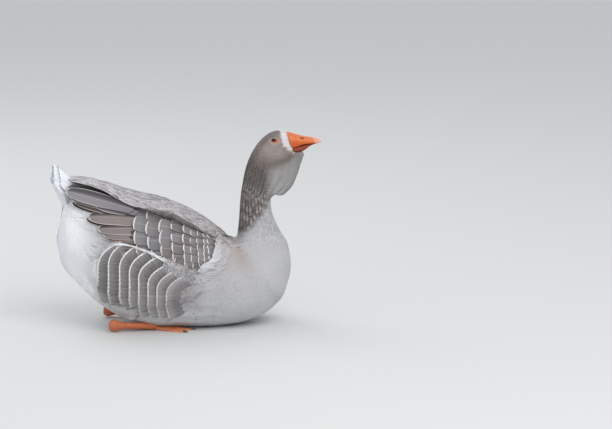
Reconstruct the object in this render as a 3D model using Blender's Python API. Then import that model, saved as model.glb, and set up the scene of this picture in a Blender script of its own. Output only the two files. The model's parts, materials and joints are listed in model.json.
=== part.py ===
"""A domestic goose of the grey dewlapped kind, life size, at rest on its belly with its feet tucked under.

+X points out along the bill, +Y to the goose's left, +Z up. The belly lies on Z = 0.
One loft runs from the stern, round the breast and up the neck to the root of the bill.
It is parted into trunk, neck, head and dewlap by thin cuts. Wings, flanks, tail and legs
are solids of their own, which lie in beds cut into the trunk.
"""

import math

import bmesh
import bpy
import numpy as np
from mathutils import Vector

# Driving dimensions, in metres.
CUT = 0.0003  # width of every thin cut between neighbours
EYE_RADIUS = 0.0085
EYE_PLACE = (0.1745, 0.3688)  # x and z of the eye's centre
EYE_STANDS_OUT = 0.0012  # how far the ball stands proud of the head
CHIN = (0.2295, 0.0, 0.3365)  # upper end of the parting between head and dewlap
THROAT = (0.1680, 0.0, 0.2500)  # lower end of that parting

RING = 24  # points round a section of the body
RINGS_PER_STATION = 2
WING_SLICES = 12
FLANK_SLICES = 9
BILL_SLICES = 10
BILL_RING = 16
LIMB_RING = 12
SHELL_STEPS = 6  # faces across a wing or flank
SHARP_ANGLE = math.radians(40)

# Stations of the body from stern to bill: the dorsal point (x, z), the ventral point (x, z),
# the half width, how far down the section its widest point lies (0 top to 1 bottom),
# and the fullness of the upper and lower halves (2 is an ellipse, more is squarer).
STATIONS = {
    "stern_cap": (-0.2480, 0.206, -0.2530, 0.152, 0.020, 0.50, 2.0, 2.0),
    "stern": (-0.2450, 0.236, -0.2500, 0.128, 0.042, 0.52, 2.0, 2.0),
    "vent": (-0.2370, 0.257, -0.2370, 0.106, 0.060, 0.54, 2.0, 2.0),
    "rump": (-0.2140, 0.267, -0.2120, 0.079, 0.076, 0.56, 2.0, 2.1),
    "croup": (-0.1750, 0.267, -0.1740, 0.043, 0.090, 0.58, 2.0, 2.2),
    "hips": (-0.1250, 0.259, -0.1240, 0.013, 0.101, 0.60, 2.0, 2.4),
    "loin": (-0.0700, 0.245, -0.0700, -0.003, 0.106, 0.60, 2.1, 2.6),
    "back": (-0.0100, 0.224, -0.0100, -0.005, 0.108, 0.58, 2.1, 2.6),
    "shoulder": (0.0450, 0.198, 0.0600, -0.004, 0.106, 0.55, 2.1, 2.6),
    "withers": (0.0790, 0.178, 0.1150, 0.003, 0.100, 0.52, 2.0, 2.5),
    "crop": (0.0940, 0.171, 0.1600, 0.020, 0.091, 0.50, 2.0, 2.3),
    "breast": (0.0990, 0.172, 0.1930, 0.051, 0.080, 0.50, 2.0, 2.2),
    "breast_top": (0.1010, 0.176, 0.2075, 0.089, 0.068, 0.50, 2.0, 2.1),
    "neck_root": (0.1025, 0.183, 0.2110, 0.122, 0.057, 0.50, 2.0, 2.1),
    "neck_base": (0.1040, 0.195, 0.2035, 0.159, 0.0455, 0.50, 2.0, 2.0),
    "neck_low": (0.1055, 0.212, 0.1870, 0.190, 0.0375, 0.50, 2.0, 2.0),
    "neck_mid": (0.1070, 0.235, 0.1755, 0.217, 0.0330, 0.50, 2.0, 2.0),
    "neck_high": (0.1095, 0.260, 0.1720, 0.243, 0.0312, 0.48, 2.0, 2.0),
    "dewlap_foot": (0.1120, 0.276, 0.1790, 0.2525, 0.0310, 0.42, 2.0, 1.8),
    "dewlap_low": (0.1150, 0.292, 0.1970, 0.2545, 0.0315, 0.36, 2.1, 1.6),
    "dewlap_mid": (0.1195, 0.310, 0.2135, 0.2700, 0.0318, 0.33, 2.2, 1.5),
    "dewlap_high": (0.1265, 0.329, 0.2235, 0.2920, 0.0315, 0.33, 2.3, 1.5),
    "nape": (0.1370, 0.3485, 0.2305, 0.3130, 0.0305, 0.36, 2.4, 1.6),
    "occiput": (0.1515, 0.3668, 0.2362, 0.3285, 0.0290, 0.40, 2.6, 1.8),
    "crown": (0.1690, 0.3795, 0.2372, 0.3365, 0.0268, 0.42, 2.7, 2.0),
    "brow": (0.1860, 0.3838, 0.2335, 0.3378, 0.0225, 0.44, 2.6, 2.1),
    "bill_root": (0.1995, 0.3818, 0.2275, 0.3380, 0.0175, 0.50, 2.4, 2.2),
}
NAMES = list(STATIONS)
TABLE = np.array(list(STATIONS.values()))

# Folded wing, from its bend to the tips: x, half distance of its upper edge from the midline,
# height of its lower edge, and how far it stands off the body at upper edge, middle and lower edge.
WING_ROWS = (
    (0.053, 0.056, 0.158, -0.001, 0.001, -0.001),
    (0.046, 0.050, 0.138, 0.001, 0.0060, 0.002),
    (0.020, 0.046, 0.123, 0.002, 0.0090, 0.003),
    (-0.030, 0.043, 0.122, 0.003, 0.0105, 0.003),
    (-0.080, 0.040, 0.136, 0.006, 0.0120, 0.003),
    (-0.130, 0.034, 0.160, 0.010, 0.0130, 0.003),
    (-0.170, 0.028, 0.194, 0.014, 0.0140, 0.004),
    (-0.205, 0.021, 0.226, 0.017, 0.0150, 0.006),
    (-0.228, 0.016, 0.242, 0.019, 0.0160, 0.010),
    (-0.2395, 0.013, 0.246, 0.022, 0.0200, 0.018),
)
WING_DEPTH = 0.007  # how far the wing sinks below the body's outline

# Flank feathers that fold up over the wing's lower edge: x, heights of the upper and lower edges,
# and how far they stand off the body.
FLANK_ROWS = (
    (0.022, 0.108, 0.088, 0.001),
    (0.006, 0.118, 0.070, 0.005),
    (-0.030, 0.138, 0.056, 0.0095),
    (-0.070, 0.157, 0.050, 0.0125),
    (-0.110, 0.172, 0.050, 0.0140),
    (-0.145, 0.180, 0.060, 0.0140),
    (-0.170, 0.174, 0.078, 0.0125),
    (-0.184, 0.160, 0.100, 0.0090),
    (-0.191, 0.145, 0.122, 0.0040),
)
FLANK_DEPTH = 0.006
FLANK_EDGE_LIFTS = (0.009, 0.001)  # most lift along the upper edge, and lift along the lower one

# Tail: its root and tip on the midline, half widths, and half thicknesses at root and tip.
TAIL_ROOT = (-0.2075, 0.244)
TAIL_TIP = (-0.2660, 0.3285)
TAIL_HALF_WIDTHS = (0.026, 0.047)
TAIL_HALF_DEPTHS = (0.0300, 0.0026)
TAIL_FEATHERS = 7
TAIL_SLICES = 5
TAIL_NOTCH = 0.0045  # depth of the notches between the feathers' tips
TAIL_ARCH = 0.010  # how far the fan's edges droop below its middle
TAIL_SWEEP = 0.30  # how much shorter the outer feathers are, per metre from the midline

# Feathered lower thigh and bare shank, as (place along, half width, half height) from the upper
# joint to the lower one, and the joints themselves.
KNEE = (-0.100, 0.066, 0.075)
HOCK = (-0.153, 0.074, 0.0135)
THIGH_END = (-0.149, 0.073, 0.0225)
HEEL = (-0.072, 0.064, 0.0085)
THIGH_SIZES = (
    (0.00, 0.024, 0.030),
    (0.25, 0.024, 0.030),
    (0.50, 0.020, 0.025),
    (0.75, 0.0145, 0.018),
    (0.92, 0.0105, 0.0125),
    (1.00, 0.0075, 0.0090),
)
SHANK_SIZES = (
    (-0.08, 0.0066, 0.0085),
    (0.03, 0.0092, 0.0122),
    (0.14, 0.0076, 0.0092),
    (0.32, 0.0056, 0.0068),
    (0.84, 0.0064, 0.0068),
    (0.97, 0.0080, 0.0074),
    (1.05, 0.0060, 0.0050),
)

# Foot: each toe's angle from the middle one, outwards positive, and its length.
TOES = (
    (math.radians(-23), 0.066),
    (math.radians(0), 0.085),
    (math.radians(23), 0.075),
)
FOOT_TURN = math.radians(6)  # toes point a little outwards
FOOT_STEPS = 5  # faces from the heel pad to the edge
TOE_HALF = math.radians(3.2)  # half the angle that a toe covers
TOE_HEIGHT = 0.0085
TOE_TAPER = 0.62  # share of its height that a toe loses towards the claw
CLAW_LENGTH = 0.007
WEB_THICKNESS = 0.0024
WEB_DIP = 0.007  # how far the web's edge curves in between two toes
HEEL_PAD = 0.005  # where the fan of toes starts, from the heel's middle
PALM_HEIGHT = 0.010

# Bill stations from root to tip: upper edge (x, z), lower edge (x, z), half width.
UPPER_BILL = (
    (0.2002, 0.3810, 0.2238, 0.3474, 0.0162),
    (0.2130, 0.3766, 0.2310, 0.3493, 0.0158),
    (0.2250, 0.3716, 0.2390, 0.3508, 0.0150),
    (0.2375, 0.3692, 0.2480, 0.3518, 0.0143),
    (0.2520, 0.3679, 0.2580, 0.3528, 0.0134),
    (0.2625, 0.3658, 0.2655, 0.3532, 0.0112),
    (0.2690, 0.3622, 0.2700, 0.3538, 0.0076),
    (0.2722, 0.3582, 0.2720, 0.3560, 0.0028),
)
LOWER_BILL = (
    (0.2244, 0.3466, 0.2294, 0.3387, 0.0140),
    (0.2320, 0.3489, 0.2350, 0.3394, 0.0136),
    (0.2400, 0.3504, 0.2430, 0.3430, 0.0130),
    (0.2490, 0.3514, 0.2510, 0.3474, 0.0122),
    (0.2580, 0.3523, 0.2595, 0.3503, 0.0104),
    (0.2640, 0.3527, 0.2645, 0.3518, 0.0070),
)

COLOURS = {
    "grey_plumage": ((0.30, 0.27, 0.27), 0.9),
    "pale_plumage": ((0.55, 0.54, 0.56), 0.9),
    "white_plumage": ((0.78, 0.79, 0.83), 0.9),
    "bill_horn": ((0.80, 0.24, 0.05), 0.45),
    "orange_skin": ((0.76, 0.26, 0.06), 0.6),
    "dark_eye": ((0.03, 0.015, 0.01), 0.08),
}


def clear_scene():
    for obj in list(bpy.data.objects):
        bpy.data.objects.remove(obj, do_unlink=True)


def make_materials():
    made = {}
    for name, (colour, roughness) in COLOURS.items():
        material = bpy.data.materials.new(name)
        material.use_nodes = True
        shader = material.node_tree.nodes["Principled BSDF"]
        shader.inputs["Base Color"].default_value = (*colour, 1.0)
        shader.inputs["Roughness"].default_value = roughness
        made[name] = material
    return made


def add_object(name, points, faces, material):
    """A closed mesh object with its faces turned outwards."""
    mesh = bpy.data.meshes.new(name)
    mesh.from_pydata([tuple(p) for p in points], [], faces)
    shell = bmesh.new()
    shell.from_mesh(mesh)
    bmesh.ops.remove_doubles(shell, verts=shell.verts, dist=1e-5)
    bmesh.ops.recalc_face_normals(shell, faces=shell.faces)
    if shell.calc_volume(signed=True) < 0:
        bmesh.ops.reverse_faces(shell, faces=shell.faces)
    bmesh.ops.triangulate(shell, faces=shell.faces)
    shell.to_mesh(mesh)
    shell.free()
    mesh.shade_smooth()
    mesh.set_sharp_from_angle(angle=SHARP_ANGLE)
    mesh.materials.append(material)
    obj = bpy.data.objects.new(name, mesh)
    bpy.context.scene.collection.objects.link(obj)
    return obj


def loft(rings):
    """Points and faces of a closed tube through rings of equal size, with flat ends."""
    count = len(rings[0])
    points = [p for ring in rings for p in ring]
    faces = []
    for row in range(len(rings) - 1):
        for k in range(count):
            a = row * count + k
            b = row * count + (k + 1) % count
            faces.append((a, b, b + count, a + count))
    faces.append(tuple(range(count)))
    faces.append(tuple(range(len(points) - count, len(points))))
    return points, faces


def catmull_rom(rows, at):
    """A smooth curve through the rows of a table, read at a fractional row number."""
    rows = np.asarray(rows, float)
    k = min(max(int(math.floor(at)), 0), len(rows) - 2)
    t = at - k
    before = rows[k - 1] if k > 0 else 2 * rows[0] - rows[1]
    after = rows[k + 2] if k + 2 < len(rows) else 2 * rows[-1] - rows[-2]
    a = 2 * rows[k]
    b = rows[k + 1] - before
    c = 2 * before - 5 * rows[k] + 4 * rows[k + 1] - after
    d = 3 * rows[k] - before - 3 * rows[k + 1] + after
    return 0.5 * (a + b * t + c * t * t + d * t ** 3)


def section_point(row, angle):
    """A point of a section: angle 0 is the dorsal point, pi the ventral one, positive is left."""
    top_x, top_z, low_x, low_z, half, widest, upper, lower = row
    fullness = upper if math.cos(angle) >= 0 else lower
    along = abs(math.cos(angle)) ** (2 / fullness)
    reach = widest * (1 - along) if math.cos(angle) >= 0 else widest + (1 - widest) * along
    y = math.copysign(half * abs(math.sin(angle)) ** (2 / fullness), math.sin(angle))
    z = top_z + reach * (low_z - top_z)
    return Vector((top_x + reach * (low_x - top_x), y, z))


def body_ring(at):
    row = catmull_rom(TABLE, at)
    ring = [section_point(row, 2 * math.pi * k / RING) for k in range(RING)]
    return [Vector((p.x, p.y, max(p.z, 0.0))) for p in ring]


def station_at(x):
    """The station number, along the trunk, whose dorsal point lies at x."""
    numbers = np.linspace(0, NAMES.index("withers"), 400)
    places = [catmull_rom(TABLE, n)[0] for n in numbers]
    return float(np.interp(x, places, numbers))


def shifted(ring, towards, amount):
    """A ring moved by an amount towards another ring's centre."""
    here = sum(ring, Vector()) / len(ring)
    there = sum(towards, Vector()) / len(towards)
    return [p + (there - here).normalized() * amount for p in ring]


def body_length(first, last):
    """The loft between two stations, drawn in by half a cut where another length follows."""
    start, end = NAMES.index(first), NAMES.index(last)
    steps = (end - start) * RINGS_PER_STATION
    rings = [body_ring(start + k / RINGS_PER_STATION) for k in range(steps + 1)]
    if start > 0:
        rings[0] = shifted(rings[0], rings[1], CUT / 2)
    rings[-1] = shifted(rings[-1], rings[-2], CUT / 2)
    return loft(rings)


def half_of(source, name, point, normal, material):
    """The part of a closed object on the side of a plane that the normal points to."""
    shell = bmesh.new()
    shell.from_mesh(source.data)
    geometry = shell.verts[:] + shell.edges[:] + shell.faces[:]
    bmesh.ops.bisect_plane(
        shell, geom=geometry, dist=1e-6, plane_co=point, plane_no=normal, clear_inner=True
    )
    rim = [edge for edge in shell.edges if edge.is_boundary]
    bmesh.ops.holes_fill(shell, edges=rim)
    points = [v.co.copy() for v in shell.verts]
    faces = [tuple(v.index for v in face.verts) for face in shell.faces]
    shell.free()
    return add_object(name, points, faces, material)


def part_dewlap(head, materials):
    """Parts the dewlap from the head along a slanting plane from chin to throat."""
    chin = Vector(CHIN)
    throat = Vector(THROAT)
    forward = Vector((chin.z - throat.z, 0.0, throat.x - chin.x)).normalized()
    plumage = materials["grey_plumage"]
    half_of(head, "dewlap", chin + forward * CUT / 2, forward, plumage)
    skull = half_of(head, "head_whole", chin - forward * CUT / 2, -forward, plumage)
    bpy.data.objects.remove(head)
    skull.name = "head"
    return skull


def enlarged(obj):
    """A hidden copy of a solid, larger by one cut all round, to cut its bed in a neighbour."""
    mesh = obj.data.copy()
    normals = [v.normal.copy() for v in mesh.vertices]
    for vertex, normal in zip(mesh.vertices, normals):
        vertex.co += normal * CUT
    cutter = bpy.data.objects.new("bed_" + obj.name, mesh)
    bpy.context.scene.collection.objects.link(cutter)
    cutter.hide_render = True
    cutter.display_type = "WIRE"
    return cutter


def cut_beds(obj, neighbours):
    """Cuts each neighbour's bed, with the solver that keeps a long run of cuts closed."""
    for neighbour in neighbours:
        modifier = obj.modifiers.new(neighbour.name, "BOOLEAN")
        modifier.operation = "DIFFERENCE"
        modifier.solver = "MANIFOLD"
        modifier.object = neighbour


def outward(row, angle):
    """The direction that leaves the body at right angles, within the section."""
    step = 0.01
    run = section_point(row, angle + step) - section_point(row, angle - step)
    dorsal = section_point(row, 0)
    ventral = section_point(row, math.pi)
    across = (ventral - dorsal).cross(Vector((0, 1, 0)))
    normal = run.cross(across).normalized()
    from_middle = section_point(row, angle) - (dorsal + ventral) / 2
    return normal if normal.dot(from_middle) > 0 else -normal


def angle_where(row, value, coordinate):
    """The angle on the section's left side where y (from the top) or z reaches a value."""
    angles = np.linspace(0.02, math.pi - 0.02, 300)
    found = np.array([section_point(row, a)[coordinate] for a in angles])
    if coordinate == 1:
        peak = int(found.argmax())
        return float(np.interp(value, found[: peak + 1], angles[: peak + 1]))
    return float(np.interp(-value, -found, angles))


def shell_ring(row, top, low, lifts, depth):
    """One closed slice of a shell that lies on the body between two angles."""
    outer, inner = [], []
    for k in range(SHELL_STEPS + 1):
        v = k / SHELL_STEPS
        angle = top + v * (low - top)
        bulge = math.sin(math.pi * v) ** 0.6
        lift = (1 - v) * lifts[0] + v * lifts[2]
        lift += bulge * (lifts[1] - (lifts[0] + lifts[2]) / 2)
        normal = outward(row, angle)
        surface = section_point(row, angle)
        outer.append(surface + normal * lift)
        inner.append(surface - normal * (depth * max(bulge, 0.3)))
    return outer + inner[::-1]


def mirrored(points, side):
    return [Vector((p.x, p.y * side, p.z)) for p in points]


def slices(rows, count):
    """Rows of a table read at evenly spaced places from its first row to its last."""
    return [catmull_rom(rows, k * (len(rows) - 1) / (count - 1)) for k in range(count)]


def wing_rings():
    rings = []
    for x, y_top, z_low, *lifts in slices(WING_ROWS, WING_SLICES):
        row = catmull_rom(TABLE, station_at(x))
        top = angle_where(row, y_top, 1)
        low = angle_where(row, z_low, 2)
        rings.append(shell_ring(row, top, low, lifts, WING_DEPTH))
    return rings


def flank_rings():
    rings = []
    for x, z_top, z_low, lift in slices(FLANK_ROWS, FLANK_SLICES):
        row = catmull_rom(TABLE, station_at(x))
        top = angle_where(row, z_top, 2)
        low = angle_where(row, z_low, 2)
        lifts = (min(lift, FLANK_EDGE_LIFTS[0]), lift, FLANK_EDGE_LIFTS[1])
        rings.append(shell_ring(row, top, low, lifts, FLANK_DEPTH))
    return rings


def side_solid(name, rings, side, material):
    points, faces = loft([mirrored(ring, side) for ring in rings])
    return add_object(name, points, faces, material)


def tail_rings():
    """The tail's fan, cut across from root to tip, with a scalloped end."""
    root = Vector((TAIL_ROOT[0], 0, TAIL_ROOT[1]))
    tip = Vector((TAIL_TIP[0], 0, TAIL_TIP[1]))
    along = (tip - root).normalized()
    up = Vector((0, 1, 0)).cross(along)
    points = 4 * TAIL_FEATHERS
    rings = []
    for k in range(TAIL_SLICES):
        t = k / (TAIL_SLICES - 1)
        half = TAIL_HALF_WIDTHS[0] + (TAIL_HALF_WIDTHS[1] - TAIL_HALF_WIDTHS[0]) * t ** 0.8
        depth = TAIL_HALF_DEPTHS[0] + (TAIL_HALF_DEPTHS[1] - TAIL_HALF_DEPTHS[0]) * t
        ring = []
        for j in range(points):
            angle = math.tau * j / points
            y = half * math.cos(angle)
            droop = TAIL_ARCH * (y / TAIL_HALF_WIDTHS[1]) ** 2
            scallop = abs(math.cos(TAIL_FEATHERS * math.pi * (y / half + 1) / 2))
            notch = TAIL_NOTCH * scallop if k == TAIL_SLICES - 1 else 0.0
            place = root.lerp(tip, t) - along * (TAIL_SWEEP * abs(y) * t + notch)
            ring.append(place + Vector((0, y, 0)) + up * (depth * math.sin(angle) - droop))
        rings.append(ring)
    return rings


def oval(centre, along, across, width, height, count):
    """A ring of points round a centre, at right angles to a direction."""
    side = across - along * across.dot(along)
    side.normalize()
    rise = along.cross(side)
    ring = []
    for k in range(count):
        angle = 2 * math.pi * k / count
        ring.append(centre + side * (width * math.cos(angle)) + rise * (height * math.sin(angle)))
    return ring


def limb_rings(start, end, sizes):
    """Rings along a straight limb, none of them below the floor."""
    start, end = Vector(start), Vector(end)
    along = (end - start).normalized()
    across = Vector((0, 1, 0))
    rings = []
    for t, width, height in sizes:
        ring = oval(start.lerp(end, t), along, across, width, height, LIMB_RING)
        rings.append([Vector((p.x, p.y, max(p.z, 0.0))) for p in ring])
    return rings


def foot_angles():
    """Directions across the foot: close together on each toe, wider on the webs."""
    angles = []
    for angle, _ in TOES:
        angles += [angle - TOE_HALF, angle, angle + TOE_HALF]
    for left, right in zip(TOES[:-1], TOES[1:]):
        angles += [left[0] + (right[0] - left[0]) * t for t in (0.3, 0.5, 0.7)]
    return sorted(angles)


def foot_reach(angle):
    """How far the foot reaches in a direction: each toe with its claw, or the web's edge."""
    for toe, length in TOES:
        if abs(angle - toe) < TOE_HALF * 1.01:
            return length * (1 - 0.10 * abs(angle - toe) / TOE_HALF)
    for left, right in zip(TOES[:-1], TOES[1:]):
        if left[0] < angle < right[0]:
            t = (angle - left[0]) / (right[0] - left[0])
            straight = left[1] + (right[1] - left[1]) * t - CLAW_LENGTH
            return straight - WEB_DIP * math.sin(math.pi * t)
    return 0.0


def foot_height(angle, t):
    """Height of the foot's upper side: the toes stand up as rounded ridges over the web."""
    ridge = max(math.exp(-((angle - toe) / (TOE_HALF * 1.1)) ** 2) for toe, _ in TOES)
    knuckles = 1 + 0.10 * math.cos(3 * 2 * math.pi * t)
    toe = TOE_HEIGHT * (1 - TOE_TAPER * t) * knuckles
    palm = PALM_HEIGHT * math.exp(-((t / 0.16) ** 2))
    return max(WEB_THICKNESS + (toe - WEB_THICKNESS) * ridge, palm)


def foot_solid(name, side, material):
    """A webbed foot with a flat sole, as a fan of points from the heel pad to the edge."""
    angles = foot_angles()
    last = len(angles) - 1
    upper, lower = [], []
    for angle in angles:
        for k in range(FOOT_STEPS + 1):
            t = k / FOOT_STEPS
            reach = HEEL_PAD + (foot_reach(angle) - HEEL_PAD) * t
            x = HEEL[0] + reach * math.cos(angle + FOOT_TURN)
            y = HEEL[1] + reach * math.sin(angle + FOOT_TURN)
            height = foot_height(angle, t) * (1 - 0.45 * t ** 8)
            upper.append(Vector((x, y * side, height)))
            lower.append(Vector((x, y * side, 0.0)))
    row = FOOT_STEPS + 1
    count = len(upper)
    faces = []
    for i in range(last):
        for k in range(FOOT_STEPS):
            a, b = i * row + k, (i + 1) * row + k
            faces.append((a, b, b + 1, a + 1))
            faces.append((a + count, a + 1 + count, b + 1 + count, b + count))
    rim = [i * row for i in range(last + 1)]
    rim += [last * row + k for k in range(1, row)]
    rim += [i * row + FOOT_STEPS for i in range(last - 1, -1, -1)]
    rim += list(range(FOOT_STEPS - 1, 0, -1))
    for a, b in zip(rim, rim[1:] + rim[:1]):
        faces.append((a, b, b + count, a + count))
    return add_object(name, upper + lower, faces, material)


def bill_solid(name, rows, widest, upper, lower, material):
    rings = []
    for top_x, top_z, low_x, low_z, half in slices(rows, BILL_SLICES):
        row = (top_x, top_z, low_x, low_z, half, widest, upper, lower)
        rings.append([section_point(row, math.tau * j / BILL_RING) for j in range(BILL_RING)])
    points, faces = loft(rings)
    return add_object(name, points, faces, material)


def half_width_of_head(x, z):
    """How far the head's side lies from the midline at a place on its profile."""
    nearest, half = 1.0, 0.0
    for step in range(81):
        row = catmull_rom(TABLE, NAMES.index("nape") + step / 20)
        for turn in range(90):
            point = section_point(row, math.pi * turn / 90)
            distance = math.hypot(point.x - x, point.z - z)
            if distance < nearest:
                nearest, half = distance, point.y
    return half


def eye_solid(name, side, material):
    ball = bmesh.new()
    bmesh.ops.create_uvsphere(ball, u_segments=12, v_segments=7, radius=EYE_RADIUS)
    x, z = EYE_PLACE
    y = half_width_of_head(x, z) + EYE_STANDS_OUT - EYE_RADIUS
    points = [v.co + Vector((x, y * side, z)) for v in ball.verts]
    faces = [tuple(v.index for v in face.verts) for face in ball.faces]
    ball.free()
    return add_object(name, points, faces, material)


def build_side(side_name, side, materials):
    """One side's leg, flank and wing, each cut where the one below it in this list lies."""
    grey, pale, skin = (materials[n] for n in ("grey_plumage", "pale_plumage", "orange_skin"))
    foot = foot_solid("foot_" + side_name, side, skin)
    shank_rings = limb_rings(HOCK, HEEL, SHANK_SIZES)
    shank = side_solid("shank_" + side_name, shank_rings, side, skin)
    thigh_rings = limb_rings(KNEE, THIGH_END, THIGH_SIZES)
    thigh = side_solid("thigh_" + side_name, thigh_rings, side, pale)
    flank = side_solid("flank_" + side_name, flank_rings(), side, grey)
    wing = side_solid("wing_" + side_name, wing_rings(), side, grey)
    foot_bed, shank_bed, thigh_bed = enlarged(foot), enlarged(shank), enlarged(thigh)
    flank_bed, wing_bed = enlarged(flank), enlarged(wing)
    cut_beds(shank, [foot_bed])
    cut_beds(thigh, [foot_bed, shank_bed, flank_bed])
    cut_beds(wing, [flank_bed])
    return [foot_bed, shank_bed, flank_bed, thigh_bed, wing_bed]


def main():
    clear_scene()
    materials = make_materials()
    grey, pale, white = (materials[n] for n in ("grey_plumage", "pale_plumage", "white_plumage"))
    trunk = add_object("trunk", *body_length("stern_cap", "neck_base"), pale)
    add_object("neck", *body_length("neck_base", "dewlap_foot"), grey)
    head = add_object("head_and_dewlap", *body_length("dewlap_foot", "bill_root"), grey)
    head = part_dewlap(head, materials)
    set_in_head = [
        bill_solid("bill_upper", UPPER_BILL, 0.72, 2.0, 4.0, materials["bill_horn"]),
        bill_solid("bill_lower", LOWER_BILL, 0.35, 4.0, 2.2, materials["bill_horn"]),
        eye_solid("eye_left", 1, materials["dark_eye"]),
        eye_solid("eye_right", -1, materials["dark_eye"]),
    ]
    cut_beds(head, [enlarged(piece) for piece in set_in_head])
    tail = add_object("tail", *loft(tail_rings()), white)
    beds = []
    for side_name, side in (("left", 1), ("right", -1)):
        beds += build_side(side_name, side, materials)
    wing_beds = [bed for bed in beds if bed.name.startswith("bed_wing")]
    cut_beds(tail, wing_beds)
    cut_beds(trunk, beds + [enlarged(tail)])


main()
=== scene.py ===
# %% [markdown]
# # A grey dewlapped domestic goose, resting on its belly
#
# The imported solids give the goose's true size and place: trunk, neck, head, dewlap, bill, eyes,
# wings, flanks, tail, legs and feet. This lesson dresses them. One skin takes the place of every
# solid of flesh, and lies inside it by the depth of the plumage. Feathers are then laid on that
# skin as thin closed vanes: tiny on the face, longer down the neck and body, and largest on the
# folded wings, the flanks and the tail. All lengths are in metres.

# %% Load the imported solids
import json
import math
from math import pi, radians, tau

import bmesh
import bpy
import numpy as np
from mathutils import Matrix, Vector
from mathutils.bvhtree import BVHTree
from mathutils.kdtree import KDTree

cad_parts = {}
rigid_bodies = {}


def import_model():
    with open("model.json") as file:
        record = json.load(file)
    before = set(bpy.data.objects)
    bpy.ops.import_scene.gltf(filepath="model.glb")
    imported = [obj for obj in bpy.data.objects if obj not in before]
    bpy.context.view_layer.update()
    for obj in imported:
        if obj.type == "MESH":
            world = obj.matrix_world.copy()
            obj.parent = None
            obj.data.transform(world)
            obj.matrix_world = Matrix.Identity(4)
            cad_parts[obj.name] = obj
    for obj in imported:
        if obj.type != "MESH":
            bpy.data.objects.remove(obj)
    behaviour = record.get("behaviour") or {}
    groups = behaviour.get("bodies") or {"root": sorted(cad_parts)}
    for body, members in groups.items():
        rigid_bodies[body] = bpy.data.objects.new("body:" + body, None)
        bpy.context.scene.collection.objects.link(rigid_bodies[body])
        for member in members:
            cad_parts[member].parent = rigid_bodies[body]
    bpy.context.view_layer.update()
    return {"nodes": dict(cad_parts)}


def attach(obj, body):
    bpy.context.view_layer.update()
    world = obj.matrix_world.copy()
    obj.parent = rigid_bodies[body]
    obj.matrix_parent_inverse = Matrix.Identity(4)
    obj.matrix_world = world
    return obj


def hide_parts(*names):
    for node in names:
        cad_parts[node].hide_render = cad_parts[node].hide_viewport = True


for startup in list(bpy.data.objects):
    bpy.data.objects.remove(startup)
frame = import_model()
print("solids:", ", ".join(sorted(frame["nodes"])))

# %% [markdown]
# ## Small tools
#
# Meshes come from arrays of points, because a loft or a feather is a rule for points. Node trees
# are long to write by hand, so one helper adds a node, sets it and plugs its inputs by name. The
# finishes share a fine noise, and one helper says where each finished piece belongs.

# %% Meshes from arrays
def new_object(name, data):
    made = bpy.data.objects.new(name, data)
    bpy.context.scene.collection.objects.link(made)
    return made


def mesh_object(name, points, faces):
    """An object with these points and faces, smoothly shaded."""
    mesh = bpy.data.meshes.new(name)
    mesh.from_pydata([tuple(p) for p in points], [], [tuple(f) for f in faces])
    mesh.shade_smooth()
    return new_object(name, mesh)


def face_outwards(obj):
    """Merges doubles and turns every face of a closed mesh outwards."""
    shell = bmesh.new()
    shell.from_mesh(obj.data)
    bmesh.ops.remove_doubles(shell, verts=shell.verts, dist=1e-6)
    bmesh.ops.recalc_face_normals(shell, faces=shell.faces)
    if shell.calc_volume(signed=True) < 0:
        bmesh.ops.reverse_faces(shell, faces=shell.faces)
    shell.to_mesh(obj.data)
    shell.free()
    return obj


def ring_faces(rings, count, ends="open"):
    """Quads between neighbouring rings, whose ends may be capped or run to two poles."""
    faces = []
    for row in range(rings - 1):
        for k in range(count):
            a, b = row * count + k, row * count + (k + 1) % count
            faces.append((a, b, b + count, a + count))
    pole, last = rings * count, (rings - 1) * count
    if ends == "caps":
        faces += [tuple(range(count))[::-1], tuple(range(last, pole))]
    if ends == "poles":
        faces += [(pole, (k + 1) % count, k) for k in range(count)]
        faces += [(pole + 1, last + k, last + (k + 1) % count) for k in range(count)]
    return faces


def around(count):
    """Equal turns of one full circle."""
    return np.linspace(0, tau, count, endpoint=False)


def write_attribute(mesh, name, kind, values, domain="POINT"):
    """Stores one value for each point, corner or face of a mesh."""
    layer = mesh.attributes.get(name) or mesh.attributes.new(name, kind, domain)
    field = {"FLOAT_VECTOR": "vector", "FLOAT2": "vector", "FLOAT_COLOR": "color"}.get(kind, "value")
    number = np.int32 if kind == "INT" else np.float32
    layer.data.foreach_set(field, np.ascontiguousarray(values, number).ravel())


def write_tint(mesh, colours):
    """Stores the colour that a finish reads at each point."""
    colours = np.asarray(colours).reshape(-1, 3)
    write_attribute(mesh, "tint", "FLOAT_COLOR", np.hstack([colours, np.ones((len(colours), 1))]))


def ease(low, high, value):
    """A smooth step from 0 to 1 while a value goes from low to high."""
    t = np.clip((value - low) / (high - low), 0, 1)
    return t * t * (3 - 2 * t)


def blended(first, second, share):
    """Mixes two colours or vectors by a share for each row."""
    share = np.asarray(share)[..., None]
    return np.asarray(first) * (1 - share) + np.asarray(second) * share


def unit(vectors):
    return vectors / np.maximum(np.linalg.norm(vectors, axis=-1, keepdims=True), 1e-9)


# %% Node trees by name
def socket_named(sockets, name):
    usable = [socket for socket in sockets if not socket.is_unavailable]
    exact = [socket for socket in usable if socket.identifier == name]
    return (exact + [socket for socket in usable if socket.name == name])[0]


def add(tree, kind, settings=None, **inputs):
    """Adds a node, sets it, and plugs its named inputs with values, nodes or sockets."""
    made = tree.nodes.new(kind)
    for key, value in (settings or {}).items():
        setattr(made, key, value)
    for key, value in inputs.items():
        plug(tree, value, socket_named(made.inputs, key.replace("_", " ")))
    return made


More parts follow.
